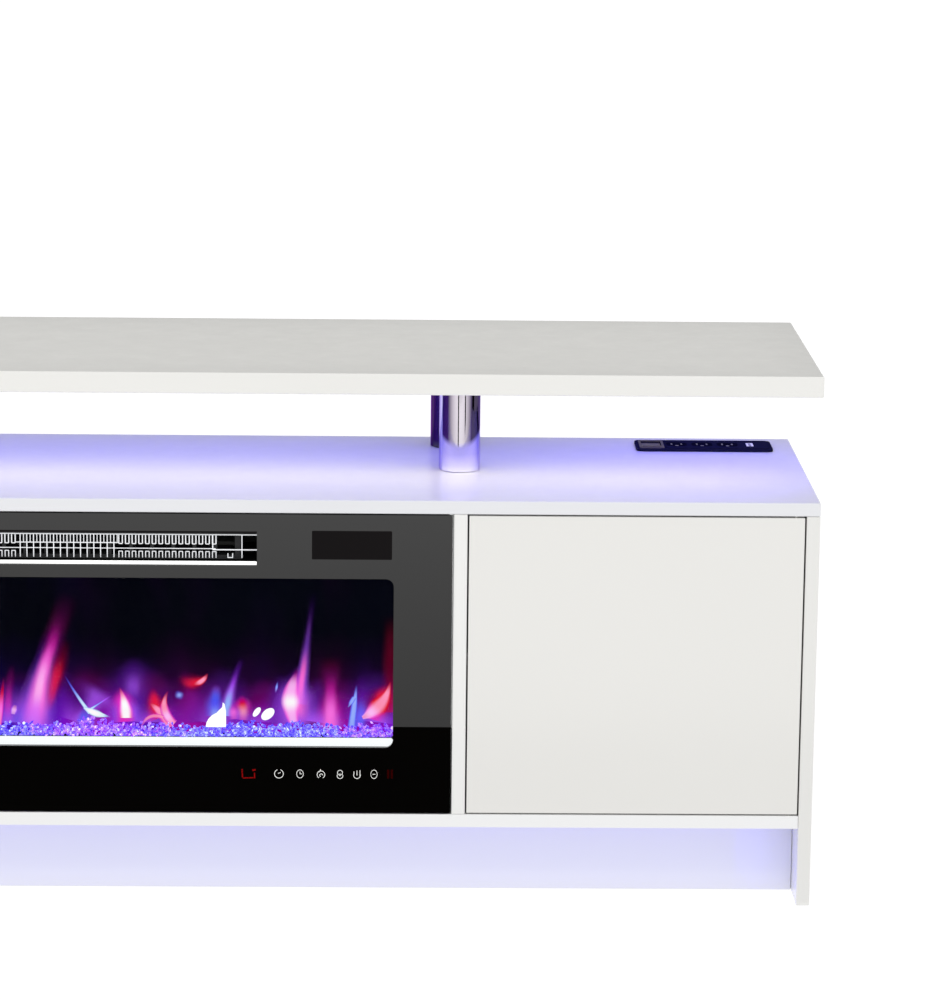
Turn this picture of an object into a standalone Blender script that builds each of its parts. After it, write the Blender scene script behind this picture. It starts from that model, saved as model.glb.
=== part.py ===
"""Two-tier media cabinet with a built-in electric fireplace insert.

Metres, +Z up. The origin is on the floor at the centre of the footprint, the front faces -Y.
A floating board stands on four chrome posts over a low cabinet: a door compartment at each end and
a fan-heater fireplace insert behind one black glass front in the middle.
"""
from math import cos, pi, radians, sin

import bmesh
import bpy
from mathutils import Matrix, Vector

# Driving dimensions of the cabinet
WIDTH = 1.778
DEPTH = 0.400
CABINET_TOP_Z = 0.495
POST_HEIGHT = 0.126
BOARD = 0.025
PANEL = 0.016
PLINTH_HEIGHT = 0.096
PLINTH_SETBACK = 0.063
FIRE_HALF_WIDTH = 0.457
HARDBOARD = 0.003
GAP = 0.0003
EDGE = 0.0008

# Posts
POST_RADIUS = 0.025
POST_WALL = 0.002
POST_FRONT = (0.4656, -0.008)
POST_REAR = (0.4561, 0.143)

# Doors on pin pivots
DOOR_GAP = 0.002
PIVOT_FROM_EDGE = 0.010
PIVOT_FROM_FACE = 0.0055
PIN_RADIUS = 0.002
PIN_IN_DOOR = 0.012
PIN_IN_BUSH = 0.008
BUSH_RADIUS = 0.004
BUSH_DEPTH = 0.010

# Push latches
LATCH_FROM_EDGE = 0.030
LATCH_WIDTH = 0.016
LATCH_LENGTH = 0.056
PLUNGER_RADIUS = 0.0035
PLUNGER_LENGTH = 0.046

# Fireplace insert
GLASS = 0.004
GLASS_REVEAL = 0.0015
INSERT_DEPTH = 0.145
SHEET = 0.0012
VENT_HALF = 0.225
VENT_Z = (0.4155, 0.4545)
WINDOW_HALF = 0.3865
WINDOW_Z = (0.194, 0.399)
LIGHT_BAR_HEIGHT = 0.010
VENT_RECESS = 0.0205
DUCT_WALL = 0.001
BLOWER_AXIS = (-0.105, 0.435)
BLOWER_RADIUS = 0.018
BLOWER_HALF = 0.200
SPINDLE_AXIS = (-0.125, 0.235)
SPINDLE_HALF = 0.380
SHAFT_RADIUS = 0.003

# Housing of the insert, measured from the glass face and the bay's sides
HOUSING_FRONT = 0.0068
HOUSING_SIDE = 0.005
HOUSING_TOP = 0.0045
INTAKE_COLUMNS = 3
INTAKE_ROWS = 3
INTAKE_PITCH = (0.055, 0.012)
INTAKE_SLOT = (0.040, 0.010, 0.004)
INTAKE_DROP = 0.030
GLAND_PLACE = (0.390, 0.160)
GLAND_HOLE = 0.0083
GLAND_OUTLINE = [(0.013, 0.0), (0.013, -0.006), (0.008, -0.010), (0.008, -0.024), (0.0042, -0.024),
                 (0.0042, 0.012), (0.008, 0.012), (0.008, 0.0)]

# Heater: grille, duct, element, fan wheel and motor
GRILLE_SLACK = 0.0008
GRILLE_CELLS = (15, 3)
GRILLE_BAR = 0.002
DUCT_FRONT = 0.005
DUCT_BACK = 0.012
DUCT_INTAKE = (0.010, 0.030, 0.010)
CUT_THROUGH = 0.05
ELEMENT_HALF = 0.205
ELEMENT_BEHIND = (0.004, 0.020)
ELEMENT_CLEAR = 0.002
ELEMENT_FRAME = 0.005
ELEMENT_FINS = 16
ELEMENT_FIN = 0.004
BLOWER_BLADES = 16
BLOWER_DISC = 0.0015
BLADE = (0.0055, 0.0008)
BLADE_INSET = 0.0035
BLADE_PITCH = 35
BLOWER_SHAFT = (0.003, 0.012)
BLOWER_MOTOR = (0.021, 0.036, 0.030)

# Flame effect: screen, spindle, its motor and bearing, ember tray and light boards
SCREEN_HALF = 0.395
SCREEN_BEHIND = (0.0275, 0.0305)
SCREEN_Z = (0.175, 0.403)
SPINDLE_TAIL = 0.010
SPINDLE_FINS = 30
SPINDLE_FIN = (0.010, 0.028, 0.0008)
FIN_INSET = 0.015
GOLDEN_ANGLE = 137.5
SPINDLE_MOTOR = (0.018, 0.022, 0.020)
MOTOR_CLEAR = 0.004
BEARING_THICK = 0.008
BEARING_HALF = 0.012
BEARING_FOOT = 0.060
TRAY_HALF = 0.390
TRAY_BEHIND = (0.0100, 0.0270)
TRAY_FLOOR = 0.186
TRAY_WALL = 0.001
LIGHT_BAR_BEHIND = (0.0055, 0.0095)
FLAME_LIGHT = ((-0.380, 0.380), (-0.132, -0.116), (0.196, 0.1976))

# Electronics: touch keys, display, control board and the parts soldered to it
TOUCH_BOARD = ((0.200, 0.398), (0.0048, 0.0066), (0.150, 0.173))
DISPLAY_BOX = ((0.290, 0.384), (0.0048, 0.0068), (0.4235, 0.458))
CONTROL_BOARD = ((0.420, 0.4216), (-0.175, -0.075), (0.260, 0.400))
CONTROL_PARTS = [
    ((0.409, -0.150, 0.370), (0.024, 0.028, 0.032)), ((0.412, -0.115, 0.375), (0.018, 0.020, 0.016)),
    ((0.412, -0.090, 0.375), (0.018, 0.020, 0.016)), ((0.414, -0.125, 0.330), (0.014, 0.040, 0.010)),
    ((0.413, -0.095, 0.290), (0.016, 0.024, 0.030)),
]

# Mood lights and their controller
LED_WIDTH = 0.012
LED_DEPTH = 0.005
LED_END = 0.020
LED_EDGE = 0.0015
LED_UPPER_FRONT = -0.076
LED_OFF_PLINTH = 0.002
CONTROLLER = ((0.560, 0.630), (0.120, 0.160), 0.022)
CONTROLLER_EDGE = 0.003

# Power strip let into the cabinet top, and its rocker
STRIP_X = (0.690, 0.862)
STRIP_Y = (0.110, 0.173)
STRIP_FLANGE = 0.0025
STRIP_BODY = 0.045
STRIP_WALL = 0.004
STRIP_CORNER = 0.008
ROCKER_FROM_END = 0.008
ROCKER_SIZE = (0.024, 0.040)
ROCKER_POCKET = 0.024
ROCKER_PIVOT_DROP = 0.001
ROCKER_OUTLINE = [(-0.0185, -0.004), (0.0185, -0.004), (0.0190, 0.0040), (0.0, 0.0022), (-0.0190, 0.0040)]
ROCKER_REST = -6

# Round parts are cut with this many sides where they are small, and this many where they show
FINE_ROUND = 28
SMALL_ROUND = 16

# Places that follow from them
HALF = WIDTH / 2
FRONT = -DEPTH / 2
BACK = DEPTH / 2
INNER = HALF - PANEL
TOP_UNDER = CABINET_TOP_Z - PANEL
FLOOR_TOP = PLINTH_HEIGHT + PANEL
BOARD_UNDER = CABINET_TOP_Z + POST_HEIGHT
BAY_INNER = FIRE_HALF_WIDTH + PANEL
DUCT_HALF = VENT_HALF + DUCT_WALL + 4 * GAP
DOOR_BACK = FRONT + PANEL
SHELF_Z = (FLOOR_TOP + TOP_UNDER) / 2


def new_collection(name):
    collection = bpy.data.collections.new(name)
    bpy.context.scene.collection.children.link(collection)
    return collection


def material(name, colour, roughness, metallic=0.0):
    mat = bpy.data.materials.new(name)
    mat.use_nodes = True
    shader = mat.node_tree.nodes["Principled BSDF"]
    shader.inputs["Base Color"].default_value = (*colour, 1.0)
    shader.inputs["Roughness"].default_value = roughness
    shader.inputs["Metallic"].default_value = metallic
    mat.diffuse_color = (*colour, 1.0)
    return mat


for old in list(bpy.data.objects):
    bpy.data.objects.remove(old, do_unlink=True)
PARTS = new_collection("electric_fireplace_cabinet")
CUTTERS = new_collection("cutters")

WHITE = material("white_lacquer", (0.86, 0.86, 0.84), 0.18)
BACKING = material("white_hardboard", (0.72, 0.71, 0.69), 0.55)
CHROME = material("chrome", (0.80, 0.80, 0.82), 0.06, 1.0)
GLASS_BLACK = material("black_glass", (0.012, 0.012, 0.013), 0.04)
STEEL_BLACK = material("black_steel", (0.02, 0.02, 0.02), 0.45)
STEEL_BARE = material("galvanised_steel", (0.50, 0.51, 0.52), 0.38, 1.0)
WIRE = material("bright_wire", (0.60, 0.61, 0.63), 0.25, 1.0)
ELEMENT = material("heating_element", (0.36, 0.35, 0.34), 0.45, 1.0)
PLASTIC = material("black_plastic", (0.025, 0.025, 0.027), 0.4)
FOIL = material("mirror_foil", (0.85, 0.85, 0.87), 0.12, 1.0)
ACRYLIC = material("frosted_acrylic", (0.30, 0.28, 0.34), 0.35)
LIGHT_BAR = material("light_bar", (0.92, 0.94, 1.0), 0.3)
LED = material("led_strip", (0.62, 0.55, 0.95), 0.35)
BOARD_GREEN = material("circuit_board", (0.03, 0.16, 0.07), 0.4)
DISPLAY = material("display_black", (0.01, 0.01, 0.012), 0.12)
NYLON = material("white_nylon", (0.80, 0.80, 0.78), 0.45)
STEEL_PIN = material("plated_steel", (0.62, 0.62, 0.60), 0.3, 1.0)
GREY = material("grey_plastic", (0.42, 0.42, 0.43), 0.45)
NAVY = material("navy_plastic", (0.012, 0.010, 0.05), 0.3)
ROCKER = material("rocker_grey", (0.16, 0.15, 0.17), 0.3)


def mesh_object(name, bm, mat, location=(0, 0, 0), smooth=False):
    """Put a bmesh in the parts collection as one named object."""
    bmesh.ops.recalc_face_normals(bm, faces=bm.faces)
    mesh = bpy.data.meshes.new(name)
    bm.to_mesh(mesh)
    bm.free()
    if smooth:
        mesh.shade_smooth()
        mesh.set_sharp_from_angle(angle=radians(35))
    mesh.materials.append(mat)
    obj = bpy.data.objects.new(name, mesh)
    obj.location = location
    PARTS.objects.link(obj)
    return obj


def box_mesh(size):
    bm = bmesh.new()
    bmesh.ops.create_cube(bm, size=1.0)
    bmesh.ops.scale(bm, vec=size, verts=bm.verts)
    return bm


def span(low_high):
    return low_high[1] - low_high[0]


def middle(low_high):
    return (low_high[0] + low_high[1]) / 2


def bevel(obj, width, segments=1):
    modifier = obj.modifiers.new("edges", "BEVEL")
    modifier.width = width
    modifier.segments = segments
    modifier.limit_method = "ANGLE"
    modifier.angle_limit = radians(40)
    return modifier


def panel(name, mat, x, y, z, edge=EDGE):
    """A board or block between low and high values on each axis, with its edges eased."""
    obj = mesh_object(name, box_mesh((span(x), span(y), span(z))), mat, (middle(x), middle(y), middle(z)))
    if edge:
        bevel(obj, edge)
    return obj


def as_cutter(obj):
    PARTS.objects.unlink(obj)
    CUTTERS.objects.link(obj)
    obj.hide_render = True
    obj.display_type = "WIRE"
    return obj


def combine(obj, tool, operation="DIFFERENCE"):
    modifier = obj.modifiers.new(operation.lower(), "BOOLEAN")
    modifier.operation = operation
    modifier.solver = "EXACT"
    modifier.object = as_cutter(tool)
    return obj


def boxes(name, blocks, mat=STEEL_BARE):
    """Several separate blocks in one mesh: each is (centre, size) or (centre, size, turn about X)."""
    bm = bmesh.new()
    for centre, size, *turn in blocks:
        spin = Matrix.Rotation(turn[0], 4, "X") if turn else Matrix.Identity(4)
        place = Matrix.Translation(centre) @ spin @ Matrix.Diagonal((*size, 1.0))
        bmesh.ops.create_cube(bm, size=1.0, matrix=place)
    return mesh_object(name, bm, mat)


def rods(name, places, radius, length, axis="Z", mat=STEEL_BARE, segments=20):
    """Several separate round rods in one mesh, each centred on its place."""
    turn = {"X": Matrix.Rotation(pi / 2, 4, "Y"), "Y": Matrix.Rotation(pi / 2, 4, "X"),
            "Z": Matrix.Identity(4)}
    bm = bmesh.new()
    for place in places:
        bmesh.ops.create_cone(bm, cap_ends=True, segments=segments, radius1=radius, radius2=radius,
                              depth=length, matrix=Matrix.Translation(place) @ turn[axis])
    return mesh_object(name, bm, mat, smooth=True)


def turned(name, mat, profile, location, axis="Z", steps=28, closed=True):
    """Turn a profile of (radius, height) points about Z, then lay it along the axis asked for."""
    bm = bmesh.new()
    verts = [bm.verts.new((radius, 0.0, height)) for radius, height in profile]
    for first, second in zip(verts, verts[1:]):
        bm.edges.new((first, second))
    if closed:
        bm.edges.new((verts[-1], verts[0]))
    mesh = bpy.data.meshes.new(name)
    bm.to_mesh(mesh)
    bm.free()
    mesh.materials.append(mat)
    obj = bpy.data.objects.new(name, mesh)
    PARTS.objects.link(obj)
    obj.location = location
    if axis == "X":
        obj.rotation_euler = (0.0, pi / 2, 0.0)
    if axis == "Y":
        obj.rotation_euler = (-pi / 2, 0.0, 0.0)
    screw = obj.modifiers.new("turn", "SCREW")
    screw.steps = steps
    screw.render_steps = steps
    screw.use_merge_vertices = True
    screw.merge_threshold = 0.00001
    screw.use_smooth_shade = True
    return obj


def tray(name, mat, x, y, z, open_side, wall):
    """A sheet-metal box with one side left open: open_side is a direction such as (0, -1, 0)."""
    bm = box_mesh((span(x), span(y), span(z)))
    bmesh.ops.recalc_face_normals(bm, faces=bm.faces)
    lid = max(bm.faces, key=lambda face: face.normal.dot(Vector(open_side)))
    bmesh.ops.delete(bm, geom=[lid], context="FACES_ONLY")
    mesh = bpy.data.meshes.new(name)
    bm.to_mesh(mesh)
    bm.free()
    mesh.materials.append(mat)
    obj = bpy.data.objects.new(name, mesh)
    obj.location = (middle(x), middle(y), middle(z))
    PARTS.objects.link(obj)
    sheet = obj.modifiers.new("sheet", "SOLIDIFY")
    sheet.thickness = wall
    sheet.offset = -1.0
    sheet.use_even_offset = True
    return obj


def sides():
    """The two ends of the cabinet, as a name ending and a sign on X."""
    return (("left", -1), ("right", 1))


def mirrored(sign, low, high):
    return (low, high) if sign > 0 else (-high, -low)


# ---------------------------------------------------------------- upper tier

def make_upper_tier():
    panel("top_board", WHITE, (-HALF, HALF), (FRONT, BACK), (BOARD_UNDER, BOARD_UNDER + BOARD), 0.0012)
    low = CABINET_TOP_Z + GAP
    high = BOARD_UNDER - GAP
    inner = POST_RADIUS - POST_WALL
    tube = [(POST_RADIUS, high - low), (POST_RADIUS, 0.0), (inner, 0.0), (inner, high - low)]
    for end, sign in sides():
        for row, (x, y) in (("front", POST_FRONT), ("rear", POST_REAR)):
            turned(f"post_{row}_{end}", CHROME, tube, (sign * x, y, low), steps=40)


# ---------------------------------------------------------------- cabinet carcass

def pivot_place(sign):
    return sign * (INNER - DOOR_GAP - PIVOT_FROM_EDGE), FRONT + PIVOT_FROM_FACE


def make_carcass():
    top = panel("cabinet_top", WHITE, (-HALF, HALF), (FRONT, BACK), (TOP_UNDER, CABINET_TOP_Z))
    recess = 0.003
    strip_hole = [((middle(STRIP_X), middle(STRIP_Y), CABINET_TOP_Z),
                   (span(STRIP_X) - 2 * recess, span(STRIP_Y) - 2 * recess, 4 * PANEL))]
    combine(top, boxes("power_strip_cutout", strip_hole))
    pivots = [pivot_place(sign) for _, sign in sides()]
    bush_hole = BUSH_RADIUS + GAP
    upper = [(x, y, TOP_UNDER) for x, y in pivots]
    combine(top, rods("upper_bush_holes", upper, bush_hole, 2 * (BUSH_DEPTH + GAP)))

    floor = panel("bottom_panel", WHITE, (-INNER + GAP, INNER - GAP), (FRONT, BACK - 2 * HARDBOARD),
                  (PLINTH_HEIGHT, FLOOR_TOP))
    lower = [(x, y, FLOOR_TOP) for x, y in pivots]
    combine(floor, rods("lower_bush_holes", lower, bush_hole, 2 * (BUSH_DEPTH + GAP)))

    board_z = (FLOOR_TOP + GAP, TOP_UNDER - GAP)
    for end, sign in sides():
        panel(f"side_panel_{end}", WHITE, mirrored(sign, INNER, HALF), (FRONT, BACK), (0.0, TOP_UNDER - GAP))
        panel(f"divider_{end}", WHITE, mirrored(sign, FIRE_HALF_WIDTH, BAY_INNER),
              (FRONT, BACK - 2 * HARDBOARD), board_z)
        bay = mirrored(sign, BAY_INNER + GAP, INNER - GAP)
        panel(f"shelf_{end}", WHITE, bay, (FRONT + 0.032, BACK - 2 * HARDBOARD - GAP),
              (SHELF_Z - PANEL / 2, SHELF_Z + PANEL / 2))
        sheet_y = (BACK - 2 * HARDBOARD + GAP, BACK - HARDBOARD)
        sheet = panel(f"back_panel_{end}", BACKING, bay, sheet_y, (PLINTH_HEIGHT, TOP_UNDER - GAP), 0.0)
        cable_hole = [(sign * 0.60, middle(sheet_y), 0.20)]
        combine(sheet, rods(f"cable_hole_{end}", cable_hole, 0.030, 0.02, "Y", segments=32))
    panel("back_rail", WHITE, (-FIRE_HALF_WIDTH + GAP, FIRE_HALF_WIDTH - GAP),
          (BACK - 2 * HARDBOARD - PANEL, BACK - 2 * HARDBOARD), (TOP_UNDER - 0.060, TOP_UNDER - GAP))

    plinth_z = (0.0, PLINTH_HEIGHT - GAP)
    plinth_x = (-INNER + GAP, INNER - GAP)
    front = FRONT + PLINTH_SETBACK
    panel("plinth_front", WHITE, plinth_x, (front, front + PANEL), plinth_z)
    panel("plinth_rear", WHITE, plinth_x, (BACK - 2 * PANEL, BACK - PANEL), plinth_z)


# ---------------------------------------------------------------- doors, pivots and push latches

def make_doors():
    door_z = (FLOOR_TOP + DOOR_GAP, TOP_UNDER - DOOR_GAP)
    for end, sign in sides():
        x, y = pivot_place(sign)
        door_x = mirrored(sign, BAY_INNER + DOOR_GAP, INNER - DOOR_GAP)
        door = panel(f"door_{end}", WHITE, door_x, (FRONT, DOOR_BACK), door_z, 0.0006)
        holes = [(x, y, z) for z in door_z]
        hole_length = 2 * (PIN_IN_DOOR + GAP)
        combine(door, rods(f"pin_holes_{end}", holes, PIN_RADIUS + GAP, hole_length, segments=16))
        length = PIN_IN_DOOR + DOOR_GAP + PIN_IN_BUSH
        for level, edge, panel_face, way in (("upper", door_z[1], TOP_UNDER, 1),
                                             ("lower", door_z[0], FLOOR_TOP, -1)):
            centre = edge + way * (length / 2 - PIN_IN_DOOR)
            rods(f"pivot_pin_{level}_{end}", [(x, y, centre)], PIN_RADIUS, length, mat=STEEL_PIN, segments=16)
            bore = PIN_RADIUS + GAP
            ring = [(BUSH_RADIUS, BUSH_DEPTH / 2), (BUSH_RADIUS, -BUSH_DEPTH / 2),
                    (bore, -BUSH_DEPTH / 2), (bore, BUSH_DEPTH / 2)]
            place = (x, y, panel_face + way * BUSH_DEPTH / 2)
            turned(f"pivot_bush_{level}_{end}", NYLON, ring, place, steps=20)


def make_latches():
    tip = DOOR_BACK + GAP
    latch_front = DOOR_BACK + 0.006
    latch_z = (TOP_UNDER - GAP - LATCH_WIDTH, TOP_UNDER - GAP)
    bore = PLUNGER_RADIUS + GAP
    for end, sign in sides():
        near = BAY_INNER + LATCH_FROM_EDGE
        x = mirrored(sign, near, near + LATCH_WIDTH)
        body = panel(f"push_latch_{end}", GREY, x, (latch_front, latch_front + LATCH_LENGTH), latch_z, 0.001)
        place = (middle(x), tip + PLUNGER_LENGTH / 2, middle(latch_z))
        combine(body, rods(f"latch_bore_{end}", [place], bore, PLUNGER_LENGTH + 2 * GAP, "Y"))
        profile = [(0.0, 0.0), (PLUNGER_RADIUS, 0.0), (PLUNGER_RADIUS, -PLUNGER_LENGTH + 0.001),
                   (PLUNGER_RADIUS - 0.001, -PLUNGER_LENGTH), (0.0, -PLUNGER_LENGTH)]
        turned(f"latch_plunger_{end}", NYLON, profile, (middle(x), tip + PLUNGER_LENGTH, middle(latch_z)),
               "Y", steps=20, closed=False)


# ---------------------------------------------------------------- mood lights and power strip

def make_lights():
    strip = (-INNER + LED_END, INNER - LED_END)
    upper_y = (LED_UPPER_FRONT, LED_UPPER_FRONT + LED_WIDTH)
    panel("led_strip_upper", LED, strip, upper_y, (BOARD_UNDER - LED_DEPTH, BOARD_UNDER - GAP), LED_EDGE)
    rear = FRONT + PLINTH_SETBACK - LED_OFF_PLINTH
    panel("led_strip_lower", LED, strip, (rear - LED_WIDTH, rear),
          (PLINTH_HEIGHT - LED_DEPTH, PLINTH_HEIGHT - GAP), LED_EDGE)
    x, y, depth = CONTROLLER
    panel("led_controller", GREY, x, y, (TOP_UNDER - depth, TOP_UNDER - GAP), CONTROLLER_EDGE)


def make_power_strip():
    top = CABINET_TOP_Z + GAP
    flange = panel("power_strip_housing", NAVY, STRIP_X, STRIP_Y, (top, top + STRIP_FLANGE), 0.0)
    corners = bevel(flange, STRIP_CORNER, 4)
    corners.limit_method = "WEIGHT"
    weights = flange.data.attributes.new("bevel_weight_edge", "FLOAT", "EDGE")
    for edge in flange.data.edges:
        ends = [flange.data.vertices[index].co for index in edge.vertices]
        weights.data[edge.index].value = 1.0 if abs(ends[0].z - ends[1].z) > STRIP_FLANGE / 2 else 0.0
    body = [((middle(STRIP_X), middle(STRIP_Y), top + STRIP_FLANGE / 2 - STRIP_BODY / 2),
             (span(STRIP_X) - 2 * STRIP_WALL, span(STRIP_Y) - 2 * STRIP_WALL, STRIP_BODY))]
    combine(flange, boxes("power_strip_body", body), "UNION")
    wide, long = ROCKER_SIZE
    rocker_x = STRIP_X[0] + ROCKER_FROM_END + wide / 2
    pocket = [((rocker_x, middle(STRIP_Y), top), (wide + 4 * GAP, long + 4 * GAP, ROCKER_POCKET))]
    combine(flange, boxes("rocker_pocket", pocket))
    bm = bmesh.new()
    rim = [bm.verts.new((-wide / 2, y, z)) for y, z in ROCKER_OUTLINE]
    face = bm.faces.new(rim)
    grown = bmesh.ops.extrude_face_region(bm, geom=[face])
    moved = [item for item in grown["geom"] if isinstance(item, bmesh.types.BMVert)]
    bmesh.ops.translate(bm, verts=moved, vec=(wide, 0.0, 0.0))
    pivot = (rocker_x, middle(STRIP_Y), top - ROCKER_PIVOT_DROP)
    switch = mesh_object("power_strip_rocker", bm, ROCKER, pivot)
    switch.rotation_euler = (radians(ROCKER_REST), 0.0, 0.0)


# ---------------------------------------------------------------- fireplace insert

def make_front_glass():
    y = (FRONT + GAP, FRONT + GAP + GLASS)
    x = FIRE_HALF_WIDTH - GLASS_REVEAL
    z = (FLOOR_TOP + GLASS_REVEAL, TOP_UNDER - GLASS_REVEAL)
    glass = panel("front_glass", GLASS_BLACK, (-x, x), y, z)
    slot = [((0.0, middle(y), middle(VENT_Z)), (2 * VENT_HALF, 4 * GLASS, span(VENT_Z)))]
    combine(glass, boxes("vent_slot", slot))


def make_housing():
    front = FRONT + HOUSING_FRONT
    back = FRONT + INSERT_DEPTH
    half = FIRE_HALF_WIDTH - HOUSING_SIDE
    z = (FLOOR_TOP + GAP, TOP_UNDER - HOUSING_TOP)
    for end, sign in sides():
        panel(f"housing_{end}", STEEL_BLACK, mirrored(sign, half - SHEET, half), (front, back), z, 0.0)
    inside = (-half + SHEET + GAP, half - SHEET - GAP)
    panel("housing_top", STEEL_BLACK, inside, (front, back), (z[1] - SHEET, z[1]), 0.0)
    panel("housing_bottom", STEEL_BLACK, inside, (front, back), (z[0], z[0] + SHEET), 0.0)
    plate_y = (back + GAP, back + GAP + SHEET)
    plate = panel("housing_back", STEEL_BLACK, (-half, half), plate_y, z, 0.0)
    across, down = INTAKE_PITCH
    slots = [((across * column, middle(plate_y), z[1] - INTAKE_DROP - down * row), INTAKE_SLOT)
             for column in range(-INTAKE_COLUMNS, INTAKE_COLUMNS + 1) for row in range(INTAKE_ROWS)]
    combine(plate, boxes("intake_slots", slots))
    gland_x, gland_z = GLAND_PLACE
    combine(plate, rods("gland_hole", [(gland_x, plate_y[1], gland_z)], GLAND_HOLE, CUT_THROUGH, "Y"))
    outline = [(radius, -height) for radius, height in reversed(GLAND_OUTLINE)]
    turned("supply_gland", PLASTIC, outline, (gland_x, plate_y[1] + GAP, gland_z), "Y", steps=24)


def make_heater():
    grille_y = (FRONT + VENT_RECESS, FRONT + VENT_RECESS + SHEET)
    grille = panel("vent_grille", WIRE, (-VENT_HALF - GRILLE_SLACK, VENT_HALF + GRILLE_SLACK), grille_y,
                   (VENT_Z[0] + GAP, VENT_Z[1] - GAP), 0.0)
    columns, rows = GRILLE_CELLS
    cell_x = 2 * VENT_HALF / columns
    cell_z = span(VENT_Z) / rows
    cells = [((-VENT_HALF + cell_x * (column + 0.5), middle(grille_y), VENT_Z[0] + cell_z * (row + 0.5)),
              (cell_x - GRILLE_BAR, CUT_THROUGH, cell_z - GRILLE_BAR))
             for column in range(columns) for row in range(rows)]
    combine(grille, boxes("grille_cells", cells))

    duct_y = (FRONT + DUCT_FRONT, FRONT + INSERT_DEPTH - DUCT_BACK)
    duct_z = (VENT_Z[0] - DUCT_WALL - GAP, VENT_Z[1] + DUCT_WALL + GAP)
    duct = tray("heater_duct", STEEL_BARE, (-DUCT_HALF, DUCT_HALF), duct_y, duct_z, (0, -1, 0), DUCT_WALL)
    combine(duct, rods("shaft_holes", [(0.0, *BLOWER_AXIS)], SHAFT_RADIUS + GAP, WIDTH, "X",
                       segments=SMALL_ROUND))
    behind, deep, tall = DUCT_INTAKE
    intake = [((0.0, BLOWER_AXIS[0] + behind, duct_z[0]), (2 * BLOWER_HALF - 2 * behind, deep, tall))]
    combine(duct, boxes("duct_intake", intake))

    block_y = (grille_y[1] + ELEMENT_BEHIND[0], grille_y[1] + ELEMENT_BEHIND[1])
    block_z = (VENT_Z[0] + ELEMENT_CLEAR, VENT_Z[1] - ELEMENT_CLEAR)
    block = panel("heating_element", ELEMENT, (-ELEMENT_HALF, ELEMENT_HALF), block_y, block_z, 0.0)
    inner = ELEMENT_HALF - ELEMENT_FRAME
    pitch = 2 * inner / ELEMENT_FINS
    openings = [((-inner + pitch * (index + 0.5), middle(block_y), middle(block_z)),
                 (pitch - ELEMENT_FIN, CUT_THROUGH, span(block_z) - 2 * ELEMENT_FRAME))
                for index in range(ELEMENT_FINS)]
    combine(block, boxes("element_openings", openings))


def make_blower():
    """Cross-flow fan wheel on its shaft, and the shaded-pole motor that turns it."""
    tail, nose = (DUCT_HALF + reach for reach in BLOWER_SHAFT)
    profile = [(0.0, nose), (SHAFT_RADIUS, nose)]
    for place in (BLOWER_HALF, 0.0, -BLOWER_HALF):
        profile += [(SHAFT_RADIUS, place + BLOWER_DISC), (BLOWER_RADIUS, place + BLOWER_DISC),
                    (BLOWER_RADIUS, place - BLOWER_DISC), (SHAFT_RADIUS, place - BLOWER_DISC)]
    profile += [(SHAFT_RADIUS, -tail), (0.0, -tail)]
    wheel = turned("blower_wheel", PLASTIC, profile, (0.0, *BLOWER_AXIS), "X", steps=24, closed=False)
    radius = BLOWER_RADIUS - BLADE_INSET
    blades = []
    for index in range(BLOWER_BLADES):
        angle = 2 * pi * index / BLOWER_BLADES
        centre = (0.0, BLOWER_AXIS[0] + radius * cos(angle), BLOWER_AXIS[1] + radius * sin(angle))
        blades.append((centre, (2 * BLOWER_HALF, *BLADE), angle + radians(BLADE_PITCH)))
    combine(wheel, boxes("blower_blades", blades), "UNION")

    motor_x = DUCT_HALF + GAP
    radius, length, bore = BLOWER_MOTOR
    motor = rods("blower_motor", [(motor_x + length / 2, *BLOWER_AXIS)], radius, length, "X", STEEL_BARE,
                 FINE_ROUND)
    combine(motor, rods("motor_bore", [(motor_x, *BLOWER_AXIS)], SHAFT_RADIUS + GAP, bore, "X",
                        segments=SMALL_ROUND))


def behind_face(reach):
    """A pair of depths measured from the face of the glass, as places along Y."""
    return tuple(FRONT + depth for depth in reach)


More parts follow.
